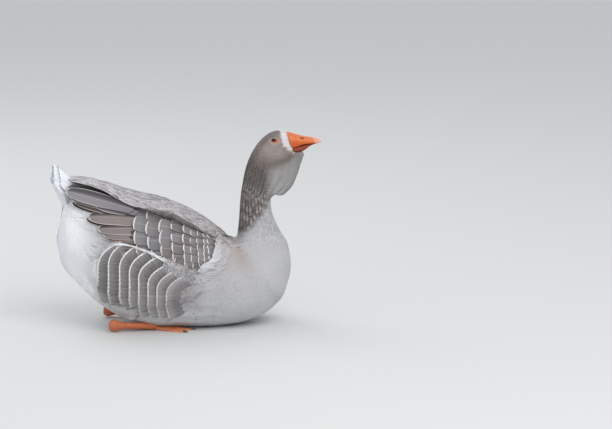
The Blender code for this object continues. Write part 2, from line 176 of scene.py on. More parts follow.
def plug(tree, value, socket):
    if isinstance(value, bpy.types.Node):
        value = next(s for s in value.outputs if not s.is_unavailable)
    if isinstance(value, bpy.types.NodeSocket):
        tree.links.new(value, socket)
    else:
        socket.default_value = value


def maths(tree, operation, *values, kind="ShaderNodeMath", **inputs):
    made = add(tree, kind, {"operation": operation}, **inputs)
    for value, socket in zip(values, made.inputs):
        plug(tree, value, socket)
    return made


def product(tree, *factors):
    result = factors[0]
    for factor in factors[1:]:
        result = maths(tree, "MULTIPLY", result, factor)
    return result


def step_between(tree, value, low, high, start=0.0, end=1.0):
    """A smooth step from start to end while a value goes from low to high."""
    return add(
        tree, "ShaderNodeMapRange", {"interpolation_type": "SMOOTHSTEP"},
        Value=value, From_Min=low, From_Max=high, To_Min=start, To_Max=end,
    )


def mixed(tree, share, first, second, blend="MIX"):
    made = tree.nodes.new("ShaderNodeMix")
    made.data_type = "RGBA"
    made.blend_type = blend
    plug(tree, share, socket_named(made.inputs, "Factor_Float"))
    plug(tree, first, socket_named(made.inputs, "A_Color"))
    plug(tree, second, socket_named(made.inputs, "B_Color"))
    return socket_named(made.outputs, "Result_Color")


def linear(red, green, blue):
    """A colour as the eye knows it, 0 to 255, in the linear values that shaders use."""
    values = np.array([red, green, blue]) / 255
    return np.where(values <= 0.04045, values / 12.92, ((values + 0.055) / 1.055) ** 2.4)


def paint(*colour):
    return (*linear(*colour), 1.0)


def new_finish(name, roughness, specular=0.3):
    """A material with a Principled shader, its tree and that shader."""
    finish = bpy.data.materials.new(name)
    finish.use_nodes = True
    tree = finish.node_tree
    shader = tree.nodes["Principled BSDF"]
    shader.inputs["Roughness"].default_value = roughness
    shader.inputs["Specular IOR Level"].default_value = specular
    return finish, tree, shader


def bump(tree, shader, height, strength, distance):
    made = add(tree, "ShaderNodeBump", None, Strength=strength, Distance=distance, Height=height)
    tree.links.new(made.outputs["Normal"], shader.inputs["Normal"])


def attribute(tree, name, output="Fac"):
    return add(tree, "ShaderNodeAttribute", {"attribute_name": name}).outputs[output]


def noise(tree, scale, detail):
    """A fine pattern, fixed to the piece."""
    place = add(tree, "ShaderNodeTexCoord").outputs["Object"]
    return add(tree, "ShaderNodeTexNoise", None, Vector=place, Scale=scale, Detail=detail).outputs["Fac"]


def mottled(tree, shader, colour, scale, detail, dark, light):
    """Colours a shader, darker and lighter by a fine noise, and returns that noise."""
    pattern = noise(tree, scale, detail)
    shade = step_between(tree, pattern, 0.3, 0.7, dark, light)
    tree.links.new(mixed(tree, 1.0, colour, shade, "MULTIPLY"), shader.inputs["Base Color"])
    return pattern


# %% Where a piece belongs
def belongs(piece, slot, *solids, finish=None):
    """A piece rides on the one body and may stand for solids; the slot it is given is not used."""
    if finish:
        piece.data.materials.append(finish)
    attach(piece, "root")
    if solids:
        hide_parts(*solids)


# %% [markdown]
# ## Stand, light and view
#
# A mounted bird is shown in even light, so that every feather edge reads and nothing is lost in
# a hard shadow. A pale floor, a bright room and two wide lamps do that. The camera stands on the
# goose's right, a little behind its shoulder and a little above its back.

# %% Floor, lamps and camera
PICTURE_SCALE = 0.002  # metres across one unit of the view at the goose's distance
VIEW_TURN, VIEW_HEIGHT = radians(-8), radians(10)
VIEW_DISTANCE = 6.0
VIEW_CENTRE = (0.239, 0.2155)  # of the view, to the right of and above the frame's origin
VIEW_WIDTH = 612 * PICTURE_SCALE
SENSOR = 36.0
FLOOR_HALF = 9
LAMPS = {  # place, size and power of each; both look at the middle of the bird
    "key_lamp": ((0.9, -2.2, 2.6), 2.4, 50),
    "back_lamp": ((-1.2, 1.8, 2.4), 2.0, 22),
}
LIT_PLACE = (0, 0, 0.2)


def make_stage():
    corners = [(FLOOR_HALF * x, FLOOR_HALF * y, 0) for x, y in ((-1, -1), (1, -1), (1, 1), (-1, 1))]
    floor = mesh_object("floor", corners, [(0, 1, 2, 3)])
    finish, tree, shader = new_finish("pale_floor", 0.8)
    cloud = add(tree, "ShaderNodeTexNoise", None, Scale=2.0, Detail=3.0)
    colour = mixed(tree, cloud.outputs["Fac"], paint(205, 205, 203), paint(211, 211, 210))
    tree.links.new(colour, shader.inputs["Base Color"])
    floor.data.materials.append(finish)


def make_lamp(name, place, size, power):
    lamp = bpy.data.lights.new(name, "AREA")
    lamp.shape = "SQUARE"
    lamp.size = size
    lamp.energy = power
    made = new_object(name, lamp)
    made.location = place
    made.rotation_euler = (Vector(LIT_PLACE) - Vector(place)).to_track_quat("-Z", "Y").to_euler()


def make_room():
    world = bpy.data.worlds.new("soft_room")
    world.use_nodes = True
    background = world.node_tree.nodes["Background"]
    background.inputs["Color"].default_value = (0.93, 0.96, 1.0, 1.0)
    background.inputs["Strength"].default_value = 0.85
    bpy.context.scene.world = world
    for name, lamp in LAMPS.items():
        make_lamp(name, *lamp)
    bpy.context.scene.view_settings.view_transform = "Standard"


def make_camera():
    camera = bpy.data.cameras.new("camera")
    camera.sensor_width = SENSOR
    camera.lens = SENSOR * VIEW_DISTANCE / VIEW_WIDTH
    made = new_object("camera", camera)
    made.rotation_euler = (pi / 2 - VIEW_HEIGHT, 0, VIEW_TURN)
    made.location = made.rotation_euler.to_matrix() @ Vector((*VIEW_CENTRE, VIEW_DISTANCE))
    bpy.context.scene.camera = made
    print("lens", round(camera.lens, 1), "mm, lamps:", len(LAMPS))


make_stage()
make_room()
make_camera()

# %% [markdown]
# ## The goose's sections
#
# The solids of the trunk, neck and head were lofted through stations from the stern, round the
# breast and up the neck to the bill. The same stations are used here, because they give every
# place on the body two numbers: how far along it lies, and how far round. Feather tracts, the
# lie of the plumage and the unwrap all follow from those two numbers.

# %% Stations and the surface between them
# Dorsal point (x, z), ventral point (x, z), half width, how far down the widest point lies,
# and the fullness of the upper and lower halves, as in the source of the solids.
STATIONS = {
    "stern_cap": (-0.248, 0.206, -0.253, 0.152, 0.02, 0.5, 2.0, 2.0),
    "stern": (-0.245, 0.236, -0.25, 0.128, 0.042, 0.52, 2.0, 2.0),
    "vent": (-0.237, 0.257, -0.237, 0.106, 0.06, 0.54, 2.0, 2.0),
    "rump": (-0.214, 0.267, -0.212, 0.079, 0.076, 0.56, 2.0, 2.1),
    "croup": (-0.175, 0.267, -0.174, 0.043, 0.09, 0.58, 2.0, 2.2),
    "hips": (-0.125, 0.259, -0.124, 0.013, 0.101, 0.6, 2.0, 2.4),
    "loin": (-0.07, 0.245, -0.07, -0.003, 0.106, 0.6, 2.1, 2.6),
    "back": (-0.01, 0.224, -0.01, -0.005, 0.108, 0.58, 2.1, 2.6),
    "shoulder": (0.045, 0.198, 0.06, -0.004, 0.106, 0.55, 2.1, 2.6),
    "withers": (0.079, 0.178, 0.115, 0.003, 0.1, 0.52, 2.0, 2.5),
    "crop": (0.094, 0.171, 0.16, 0.02, 0.091, 0.5, 2.0, 2.3),
    "breast": (0.099, 0.172, 0.193, 0.051, 0.08, 0.5, 2.0, 2.2),
    "breast_top": (0.101, 0.176, 0.2075, 0.089, 0.068, 0.5, 2.0, 2.1),
    "neck_root": (0.1025, 0.183, 0.211, 0.122, 0.057, 0.5, 2.0, 2.1),
    "neck_base": (0.104, 0.195, 0.2035, 0.159, 0.0455, 0.5, 2.0, 2.0),
    "neck_low": (0.1055, 0.212, 0.187, 0.19, 0.0375, 0.5, 2.0, 2.0),
    "neck_mid": (0.107, 0.235, 0.1755, 0.217, 0.033, 0.5, 2.0, 2.0),
    "neck_high": (0.1095, 0.26, 0.172, 0.243, 0.0312, 0.48, 2.0, 2.0),
    "dewlap_foot": (0.112, 0.276, 0.179, 0.2525, 0.031, 0.42, 2.0, 1.8),
    "dewlap_low": (0.115, 0.292, 0.197, 0.2545, 0.0315, 0.36, 2.1, 1.6),
    "dewlap_mid": (0.1195, 0.31, 0.2135, 0.27, 0.0318, 0.33, 2.2, 1.5),
    "dewlap_high": (0.1265, 0.329, 0.2235, 0.292, 0.0315, 0.33, 2.3, 1.5),
    "nape": (0.137, 0.3485, 0.2305, 0.313, 0.0305, 0.36, 2.4, 1.6),
    "occiput": (0.1515, 0.3668, 0.2362, 0.3285, 0.029, 0.4, 2.6, 1.8),
    "crown": (0.169, 0.3795, 0.2372, 0.3365, 0.0268, 0.42, 2.7, 2.0),
    "brow": (0.186, 0.3838, 0.2335, 0.3378, 0.0225, 0.44, 2.6, 2.1),
    "bill_root": (0.1995, 0.3818, 0.2275, 0.338, 0.0175, 0.5, 2.4, 2.2),
}
NAMES = list(STATIONS)
TABLE = np.array(list(STATIONS.values()))
LAST = len(NAMES) - 1
STERN_DOME = 0.006  # how far the stern's round end bulges behind its last station


def curve_through(rows, at):
    """A smooth curve through the rows of a table, read at fractional row numbers."""
    rows = np.asarray(rows, float)
    at = np.asarray(at, float)
    padded = np.vstack([2 * rows[0] - rows[1], rows, 2 * rows[-1] - rows[-2]])
    k = np.clip(np.floor(at).astype(int), 0, len(rows) - 2)
    t = (at - k)[..., None]
    before, here, there, after = (padded[k + i] for i in range(4))
    b = there - before
    c = 2 * before - 5 * here + 4 * there - after
    d = 3 * here - before - 3 * there + after
    return 0.5 * (2 * here + b * t + c * t * t + d * t**3)


def section_point(row, angle):
    """Points of sections: angle 0 is the dorsal point, pi the ventral one, positive is left."""
    top_x, top_z, low_x, low_z, half, widest, upper, lower = np.moveaxis(row, -1, 0)
    cos, sin = np.cos(angle), np.sin(angle)
    fullness = np.where(cos >= 0, upper, lower)
    along = np.abs(cos) ** (2 / fullness)
    reach = np.where(cos >= 0, widest * (1 - along), widest + (1 - widest) * along)
    y = np.sign(sin) * half * np.abs(sin) ** (2 / fullness)
    z = np.maximum(top_z + reach * (low_z - top_z), 0.0)
    return np.stack([top_x + reach * (low_x - top_x), y, z], axis=-1)


def body_point(along, round_):
    """The outline of the plumage at places along and round the body."""
    row = curve_through(TABLE, np.clip(along, 0, LAST))
    point = section_point(row, round_)
    middle = (section_point(row, 0 * round_) + section_point(row, 0 * round_ + pi)) / 2
    behind = np.clip(-np.asarray(along), 0, 1)[..., None]
    closed = middle + (point - middle) * np.sqrt(1 - behind**2)
    return closed - np.array([STERN_DOME, 0, 0]) * behind


print("stations:", len(NAMES))

# %% [markdown]
# ## How far the plumage stands off
#
# Wings and flanks stand off the loft. The frame itself says by how much: from every place on the
# loft a ray is sent inwards from outside, and where it meets a solid is the top of the plumage.

# %% Height of the solids over the loft
FLESH = ("trunk", "neck", "head", "dewlap")
SHELLS = ("wing_left", "wing_right", "flank_left", "flank_right")
RAY_START = 0.045  # above the loft, farther out than any solid


def surface_of(*nodes):
    """One tree of triangles of the named solids, for rays."""
    points, faces = [], []
    for name in nodes:
        mesh = frame["nodes"][name].data
        mesh.calc_loop_triangles()
        faces += [tuple(len(points) + v for v in t.vertices) for t in mesh.loop_triangles]
        points += [v.co.copy() for v in mesh.vertices]
    return BVHTree.FromPolygons(points, faces)


def surface_grid(along, round_):
    """Points and outward directions of the loft on a grid, rows along and columns round."""
    s, a = np.meshgrid(along, round_, indexing="ij")
    points = body_point(s, a)
    step = 1e-3
    by_s = body_point(s + step, a) - body_point(s - step, a)
    by_a = body_point(s, a + step) - body_point(s, a - step)
    out = unit(np.cross(by_a, by_s))
    middle = points.mean(axis=1, keepdims=True)
    wrong = (out * (points - middle)).sum(axis=-1, keepdims=True) < 0
    return points, np.where(wrong, -out, out), unit(-by_s)


def heights_over(points, out, tree):
    heights = np.zeros(points.shape[:2])
    for i in range(points.shape[0]):
        for j in range(points.shape[1]):
            n = Vector(out[i, j])
            hit = tree.ray_cast(Vector(points[i, j]) + n * RAY_START, -n, RAY_START * 1.2)
            heights[i, j] = max(RAY_START - hit[3], 0.0) if hit[0] else 0.0
    return heights


ROUND_COUNT = 192
RINGS_BETWEEN = 4
STERN_RINGS = [-0.98, -0.85, -0.6, -0.3]  # places along the stern's round end
skin_along = np.concatenate([STERN_RINGS, np.linspace(0, LAST, LAST * RINGS_BETWEEN + 1)])
skin_round = around(ROUND_COUNT)
loft, loft_out, loft_lie = surface_grid(skin_along, skin_round)
all_solids = surface_of(*FLESH, *SHELLS)
stand_off = heights_over(loft, loft_out, all_solids)
stand_off[skin_along > NAMES.index("crop")] = 0.0
print("loft grid", loft.shape, "most stand-off", round(float(stand_off.max()), 4))

# %% [markdown]
# ## The skin
#
# Under its feathers a goose is one smooth, loose skin. It could be a sculpt, but a grid that
# follows the stations keeps its two numbers at every point, so it is displaced here instead: in by
# the depth of the plumage, out under wings and flanks, and creased where the head meets the
# dewlap and along the furrows of the neck.

# %% Depth of the plumage, folds and furrows
NECK_START, HEAD_START, FACE_START = 14.0, 18.3, 21  # places along the body, in stations
FURROWS = 27  # ridges round the neck
FURROW_DEPTH = 0.0026
WING_BULGE = 0.01  # most that the skin rises under a wing or flank
CREASE_LINE = np.array([  # where the head meets the dewlap, x and z
    (0.148, 0.3135), (0.1642, 0.3163), (0.1889, 0.3238), (0.2055, 0.3317), (0.2175, 0.339),
])
CREASE_DEPTH, CREASE_HALF = 0.0016, 0.0075
EYE_HOLLOW = 0.0012
EYE_PLACE = (0.174, 0.3672)
EYE_OPENING = (0.1757, 0.3662, 0.0085, 0.0046)  # centre x, z and half width, half height of the lids
BILL_BORDER = np.array([  # where the feathers of the face end at the bill, x and z, from the chin up
    (0.217, 0.3405), (0.2113, 0.3501), (0.2056, 0.3604), (0.2031, 0.3706), (0.2005, 0.3815),
])
CHIN = 0.34  # height below which the feathers run on under the bill
SKIN_FLOOR = 0.0012  # least height of the skin, so that feathers fit between it and the ground


def coat_depth(along):
    """Depth of the feathers over the skin: thin on the face, thick on the body."""
    places = (-1, 3, 9, 13, 14.5, 18, 20, 22.5, 25, LAST)
    depths = (0.0038, 0.0036, 0.0036, 0.0034, 0.003, 0.0028, 0.0022, 0.0018, 0.0013, 0.001)
    return np.interp(along, places, depths)


def distance_to_line(x, z, line):
    """Distance, in the side view, from points to a line of several pieces."""
    nearest = np.full(np.shape(x), 9.0)
    for (ax, az), (bx, bz) in zip(line[:-1], line[1:]):
        dx, dz = bx - ax, bz - az
        t = np.clip(((x - ax) * dx + (z - az) * dz) / (dx * dx + dz * dz), 0, 1)
        nearest = np.minimum(nearest, np.hypot(x - ax - t * dx, z - az - t * dz))
    return nearest


def wobble(x, y, z, scale):
    """A cheap smooth noise from -1 to 1, made of crossed waves."""
    a = np.sin(x / scale + 1.3 * np.sin(z / scale * 0.7 + 0.4))
    b = np.sin(z / scale * 1.1 + 1.7 * np.sin(y / scale * 0.9 + 2.1))
    c = np.sin(y / scale * 1.2 + 1.5 * np.sin(x / scale * 0.8 + 4.2))
    return (a + b + c) / 3


def from_top(round_):
    """How far round a place lies from the dorsal line, on either side: 0 to pi."""
    return np.abs(np.mod(round_ + pi, tau) - pi)


def furrow(points, along, round_):
    """Ridges of the neck: 1 on a crest and 0 in a groove, how strong, and their broken marks."""
    x, y, z = np.moveaxis(points, -1, 0)
    slant = 0.26 * np.sin(round_) ** 2 * (along - 16) + 0.35 * wobble(x, y, z, 0.011)
    turn = from_top(round_)
    phase = FURROWS / 2 * turn + slant * 1.7
    crest = np.abs(np.sin(phase))
    front = ease(0.8 * pi, 0.98 * pi, turn)
    strength = ease(13.9, 15.2, along) * (1 - ease(19.5, 22.5, along)) * (1 - front)
    own = np.mod(np.sin(np.floor(phase / pi) * 12.99) * 437.5, 1.0)
    dash = 0.5 + 0.5 * np.sin(tau * (along * 1.15 + own))
    return crest, strength * (0.35 + 0.65 * ease(0.15, 0.5, turn)), dash


def ahead_of_border(x, z):
    """How far, in the side view, a place lies ahead of the feathers' edge at the bill."""
    ahead = x - np.interp(z, BILL_BORDER[:, 1], BILL_BORDER[:, 0])
    return np.where(z > CHIN - 0.0015, ahead, -1.0)


def from_eye(x, z):
    """Distance from the middle of the eye, 1 on the outline of the lids."""
    middle_x, middle_z, half_width, half_height = EYE_OPENING
    return np.hypot((x - middle_x) / half_width, (z - middle_z) / half_height)


# %% Height of the skin at every place
def skin_height(points, along, round_, stand):
    """How far the skin lies above the loft's outline, which is mostly below it."""
    x, y, z = np.moveaxis(points, -1, 0)
    height = np.minimum(stand, WING_BULGE) - coat_depth(along)
    crest, strength, _ = furrow(points, along, round_)
    height -= FURROW_DEPTH * strength * (1 - crest)
    on_side = ease(0.006, 0.018, np.abs(y)) * ease(18.5, 20, along)
    from_crease = distance_to_line(x, z, CREASE_LINE) / CREASE_HALF
    height -= CREASE_DEPTH * on_side * np.exp(-(from_crease**2))
    height -= EYE_HOLLOW * (1 - ease(0.5, 1.25, from_eye(x, z))) * (along > FACE_START)
    return height


def narrowed_to_bill(points):
    """The face drawn in to the bill's width at the feathers' edge, and inside it ahead of that."""
    x, y, z = np.moveaxis(points, -1, 0)
    ahead = ahead_of_border(x, z)
    face = np.interp(z, (0.352, 0.362, 0.372, 0.381), (0.28, 0.24, 0.1, 0.03))
    face = face * ease(-0.014, 0.0, ahead)
    inside = 0.42 * ease(0.0002, 0.0028, ahead)
    above_chin = ease(CHIN - 0.0005, CHIN + 0.0025, z)
    drawn = points.copy()
    drawn[..., 1] = y * (1 - face * above_chin) * (1 - inside * above_chin)
    drawn[..., 2] = z - 0.004 * ease(0.0, 0.003, ahead) * ease(0.358, 0.372, z)
    return drawn


def softened(grid, passes):
    """Blurs a grid of heights, round and along, so that the skin has no steps."""
    for _ in range(passes):
        grid = (np.roll(grid, 1, 1) + 2 * grid + np.roll(grid, -1, 1)) / 4
        ends = np.vstack([grid[:1], grid, grid[-1:]])
        grid = (ends[:-2] + 2 * ends[1:-1] + ends[2:]) / 4
    return grid


grid_along, grid_round = np.meshgrid(skin_along, skin_round, indexing="ij")
soft_stand = softened(np.minimum(stand_off, WING_BULGE), 6)
skin_points = loft + loft_out * skin_height(loft, grid_along, grid_round, soft_stand)[..., None]
rounded_stern = softened(skin_points, 14)
skin_points = blended(skin_points, rounded_stern, 1 - ease(0.6, 2.4, grid_along))
skin_points[..., 2] = np.maximum(skin_points[..., 2], SKIN_FLOOR)
skin_points = blended(skin_points, narrowed_to_bill(skin_points), (grid_along > FACE_START) * 1.0)
print("skin lies", round(float(coat_depth(9)) * 1000, 1), "mm in on the body")

# %% [markdown]
# ## Markings
#
# The goose is ash grey and brown above, paler below, with a white stern and tail, a dark brown
# neck streaked by painted shade in its furrows, and a white ring round the bill. Painted shade also
# darkens the fold under the cheek. One rule gives the colour of any place, and both the skin and
# the feathers read it, so that a gap between feathers never shows the wrong colour.

# %% Colour of every place on the body
WHITE_STERN = linear(240, 241, 244)
BREAST_GREY = linear(180, 179, 181)
BELLY_WHITE = linear(200, 200, 202)
MANTLE_GREY = linear(180, 174, 176)
SHOULDER_GREY = linear(168, 159, 155)
NECK_BROWN = linear(68, 58, 52)
# painted shade: the darker brown that the neck's grooves are coloured
NECK_GROOVE_SHADE = linear(44, 38, 34)
NECK_PALE = linear(168, 162, 160)
CHEEK = linear(160, 148, 143)
CROWN = linear(130, 117, 114)
DEWLAP_GREY = linear(158, 155, 155)
# painted shade: the brown laid along the fold under the cheek
CREASE_SHADE = linear(116, 106, 98)
RING_WHITE = linear(232, 228, 229)
LID_PALE = linear(190, 180, 176)
FLANK_GREY, FLANK_PALE = linear(134, 130, 131), linear(160, 156, 157)
RING_BACK = np.array([  # rear edge of the white ring round the bill, x and z, from the chin up
    (0.2155, 0.3406), (0.2067, 0.3482), (0.1966, 0.3559), (0.1909, 0.3636), (0.1903, 0.3763),
    (0.1904, 0.387),
])
RING_FRONT = 0.2165
LOW_EDGE = (0.104, 0.177, 1.05)  # where the dark neck starts: x, z and rise along the side


def body_colour(along, turn, patchy):
    """Grey above and white below, behind the white stern and up to the breast."""
    under = ease(0.5 * pi, 0.78 * pi, turn)
    upper = blended(MANTLE_GREY, SHOULDER_GREY, ease(7.5, 10.5, along))
    body = blended(upper, BREAST_GREY, ease(0.25 * pi, 0.5 * pi, turn))
    body = blended(body, BELLY_WHITE, under * (1 - ease(9, 12.5, along)))
    body = blended(body, BREAST_GREY, ease(10.5, 12, along) * (turn > 0))
    return blended(body, WHITE_STERN, 1 - ease(3.0, 4.4, along + 0.2 * patchy))


def neck_colour(turn, crest, strength, dash):
    """Brown, with painted shade in the grooves, and pale crests where the marks break."""
    neck = blended(NECK_BROWN, NECK_PALE, ease(0.55 * pi, 0.95 * pi, turn) * 0.8)
    groove = (1 - ease(0.2, 0.85, crest)) * strength * (0.6 + 0.4 * dash)
    # painted shade: the grooves between the ridges are coloured darker
    neck = blended(neck, NECK_GROOVE_SHADE, groove)
    return blended(neck, NECK_PALE, ease(0.7, 1.0, crest) * strength * (0.15 + 0.75 * (1 - dash)))


def head_colour(points, along, turn, patchy):
    """Brown crown, paler cheek and dewlap, and painted shade in the fold between them."""
    x, y, z = np.moveaxis(points, -1, 0)
    head = blended(CROWN, CHEEK, ease(0.16 * pi, 0.36 * pi, turn))
    head = blended(NECK_BROWN, head, ease(20.2, 22.8, along))
    under_jaw = np.interp(x, CREASE_LINE[:, 0], CREASE_LINE[:, 1]) - z
    dewlap = ease(-0.003, 0.005, under_jaw) * ease(0.15, 0.178, x + 0.003 * patchy)
    head = blended(head, DEWLAP_GREY, dewlap)
    crease = distance_to_line(x, z, CREASE_LINE)
    # painted shade: a brown band along the crease between head and dewlap
    crease_shade = 0.85 * np.exp(-((crease / 0.008) ** 2)) * (np.abs(y) > 0.004) * ease(0.15, 0.17, x)
    return blended(head, CREASE_SHADE, crease_shade * (1 - 0.6 * ease(0.205, 0.22, x)))


# %% The markings together
def markings(points, along, round_):
    """The colour of the plumage at each place."""
    x, y, z = np.moveaxis(points, -1, 0)
    turn = from_top(round_)
    patchy = wobble(x, y, z, 0.013)
    crest, strength, dash = furrow(points, along, round_)
    edge = z - LOW_EDGE[1] - LOW_EDGE[2] * (x - LOW_EDGE[0]) + 0.004 * patchy
    edge = edge + 0.01 * (dash - 0.5) * strength
    on_neck = ease(-0.006, 0.014, edge) * ease(12.5, 13.6, along)
    colour = blended(body_colour(along, turn, patchy), neck_colour(turn, crest, strength, dash), on_neck)
    colour = blended(colour, head_colour(points, along, turn, patchy), ease(17.8, 19.2, along))

    behind_ring = np.interp(z, RING_BACK[:, 1], RING_BACK[:, 0])
    ring = ease(-0.0008, 0.0008, x - behind_ring + 0.0007 * patchy)
    above_chin = ease(CHIN - 0.001, CHIN + 0.001, z)
    colour = blended(colour, RING_WHITE, ring * above_chin * (x < RING_FRONT))
    fine = wobble(x, y, z, 0.0028) * ease(17.5, 19, along) * (1 - ring)
    colour = colour * (1 + 0.09 * fine)[..., None]
    lids = 1 - ease(1.0, 2.0, from_eye(x, z) + 0.15 * patchy)
    colour = blended(colour, LID_PALE, 0.45 * lids * (along > FACE_START))
    return colour * (1 + 0.05 * patchy[..., None])


skin_colour = markings(skin_points, grid_along, grid_round)
print("colours for", skin_colour.shape[0] * skin_colour.shape[1], "places")

# %% [markdown]
# ## Skin mesh and finish
#
# The grid becomes one closed mesh, with a pole at the stern and a cap inside the bill's root. Its
# unwrap is the two numbers themselves, scaled to a square. Down between the feathers is soft and
# matt, so the finish only needs a fine mottle and a little bump.

# %% Build the skin
def add_unwrap(mesh, name, start, end):
    """The unwrap of the skin: round the body across, and upwards along it from start to end."""
    rows, columns = grid_along.shape
    layer = mesh.uv_layers.new(name=name)
    where = np.empty((len(mesh.loops), 2), np.float32)
    for face in mesh.polygons:
        columns_here = [v % columns for v in face.vertices if v < rows * columns]
        wraps = max(columns_here) - min(columns_here) > columns / 2
        for loop, v in zip(face.loop_indices, face.vertices):
            if v < rows * columns:
                row, column = divmod(v, columns)
                column += columns if wraps and column < columns / 2 else 0
            else:
                row, column = (0 if v == rows * columns else rows - 1), columns_here[0]
            where[loop] = (column / columns, (skin_along[row] - start) / (end - start))
    layer.data.foreach_set("uv", np.clip(where, 0.002, 0.998).ravel())


def with_poles(grid):
    """The points of a grid, then the middles of its first and last rings."""
    return np.vstack([grid.reshape(-1, 3), grid[0].mean(axis=0), grid[-1].mean(axis=0)])


def make_skin():
    faces = [face[::-1] for face in ring_faces(*grid_along.shape, "poles")]
    skin = mesh_object("skin", with_poles(skin_points), faces)
    write_tint(skin.data, with_poles(skin_colour))
    add_unwrap(skin.data, "OFBake", -1, LAST)
    return skin


def down_finish():
    finish, tree, shader = new_finish("down_and_skin", 0.9, 0.15)
    pattern = mottled(tree, shader, attribute(tree, "tint", "Color"), 420.0, 3.0, 0.72, 0.95)
    bump(tree, shader, pattern, 0.4, 0.0006)
    shader.inputs["Sheen Weight"].default_value = 0.15
    return finish


skin = make_skin()
skin.data.materials.append(down_finish())
print("skin:", len(skin.data.polygons), "faces")

# %% [markdown]
# ## One feather
#
# A feather is a shaft with a vane on each side: flat, a little arched, round or square at the
# end. Real ones are far thinner than a mesh needs to be, so each is modelled as a thin closed
# body of a few dozen faces, one unit long, and given its size when it is set on the skin. Its own
# map runs from root to tip and from edge to edge, so that the finish can follow the barbs.

# %% A unit vane for each kind of feather
def outline_width(u, root, fullest, tip):
    """Half width of a vane from root to tip, from 0 to 1: narrow root, fullest place, blunt tip."""
    rise = np.clip(u / fullest, 0, 1)
    fall = np.clip((u - fullest) / (1 - fullest), 0, 1)
    return (root + (1 - root) * np.sin(rise * pi / 2) ** 1.2) * (1 - fall**tip) ** 0.5


def make_vane(name, rings, across, root, fullest, tip, reach=0.985):
    """A closed vane along +X: rings from root to tip, and a number of steps from edge to edge.
    The last ring lies at the reach, close before the tip."""
    places = 1 - (1 - np.linspace(0.06, 1, rings)) ** 1.25
    places = 0.05 + (places - places[0]) / (places[-1] - places[0]) * (reach - 0.05)
    sides = np.linspace(-1, 1, across + 1)
    points, ways = [(0, 0, 0)], [(0, 0.5)]
    for u in places:
        half = float(outline_width(u, root, fullest, tip)) / 2
        for face, steps in ((0.5, sides), (-0.5, sides[-2:0:-1])):
            for v in steps:
                bow = face * math.sqrt(max(1 - v * v, 0)) * (1 - 0.5 * u)
                points.append((u, v * half, bow))
                ways.append((u, (v + 1) / 2))
    points.append((1, 0, 0))
    ways.append((1, 0.5))
    loop = 2 * across
    faces = [(0, 1 + (k + 1) % loop, 1 + k) for k in range(loop)]
    for row in range(rings - 1):
        for k in range(loop):
            a, b = 1 + row * loop + k, 1 + row * loop + (k + 1) % loop
            faces.append((a, b, b + loop, a + loop))
    last = 1 + (rings - 1) * loop
    faces += [(len(points) - 1, last + k, last + (k + 1) % loop) for k in range(loop)]
    vane = mesh_object(name, points, faces)
    layer = vane.data.uv_layers.new(name="vane")
    for loop_corner in vane.data.loops:
        layer.data[loop_corner.index].uv = ways[loop_corner.vertex_index]
    ends = (0, len(points) - 1)
    for edge in vane.data.edges:  # a crisp rim, so that each side is shaded as a flat leaf
        edge.use_edge_sharp = all(ways[v][1] in (0, 1) or v in ends for v in edge.vertices)
    vane.hide_render = True
    return vane


VANES = {  # rings, steps across, width at the root, fullest place, bluntness of the tip
    "down_tuft": (2, 2, 0.45, 0.55, 2.2),
    "neck_vane": (3, 2, 0.4, 0.6, 2.4),
    "body_vane": (5, 2, 0.35, 0.6, 2.6),
    "covert_vane": (9, 6, 0.45, 0.55, 7.0, 0.992),
    "quill_vane": (14, 8, 0.6, 0.6, 2.6),
    "scapular_vane": (7, 4, 0.6, 0.5, 1.7),
}
MOULDS = [make_vane(name, *shape) for name, shape in VANES.items()]
down_tuft, neck_vane, body_vane, covert_vane, quill_vane, scapular_vane = MOULDS
print("faces in a vane:", {m.name: len(m.data.polygons) for m in MOULDS})

# %% [markdown]
# ## Setting feathers with Geometry Nodes
#
# Feathers grow in tracts and lie like roof tiles, tips towards the tail. Thousands of them call
# for a node tree: it takes points that know their lie, their outward direction and their size,
# puts a vane on each, and bends it so that its tip stands a little off the skin and its edges
# hug the bird. For small feathers the same tree first scatters the points evenly over the skin.

# %% The plumage tree
PLUMAGE_INPUTS = {  # name: kind of socket, default value
    "Geometry": ("Geometry", None),
    "Vane": ("Object", None),
    "Finish": ("Material", None),
    "Tract": ("Int", 0),
    "Spacing": ("Float", 0.004),
    "Size spread": ("Float", 0.12),
    "Lie spread": ("Float", 0.1),
    "Patch": ("Float", 0.003),
    "Seed": ("Int", 1),
}
LOWEST = (-9.0, -9.0, 0.0003)  # no point of a feather goes below this height


def vector(tree, operation, *values, **inputs):
    return maths(tree, operation, *values, kind="ShaderNodeVectorMath", **inputs)


def named(tree, name, kind="FLOAT_VECTOR"):
    made = add(tree, "GeometryNodeInputNamedAttribute", {"data_type": kind}, Name=name)
    return socket_named(made.outputs, "Attribute")


def random_value(tree, kind, reach, seed):
    """A value of this kind for each feather, from minus the reach to plus the reach."""
    low = tuple(-part for part in reach) if isinstance(reach, tuple) else -reach
    return add(tree, "FunctionNodeRandomValue", {"data_type": kind}, Min=low, Max=reach, Seed=seed)


def stored(tree, geometry, name, kind, domain, value):
    """A geometry that also carries a named value at each point or corner."""
    settings = {"data_type": kind, "domain": domain}
    kind = "GeometryNodeStoreNamedAttribute"
    return add(tree, kind, settings, Geometry=geometry, Name=name, Value=value)


# %% Points for small feathers, then the whole tree
def scattered_points(tree, given):
    """Evenly spaced points on the faces of one tract."""
    in_tract = add(
        tree, "FunctionNodeCompare", {"data_type": "INT", "operation": "EQUAL"},
        A=named(tree, "tract", "INT"), B=given["Tract"],
    )
    density = maths(tree, "DIVIDE", 4.0, product(tree, given["Spacing"], given["Spacing"]))
    return add(
        tree, "GeometryNodeDistributePointsOnFaces", {"distribute_method": "POISSON"},
        Mesh=given["Geometry"], Selection=in_tract, Distance_Min=given["Spacing"],
        Density_Max=density, Seed=given["Seed"],
    ).outputs["Points"]


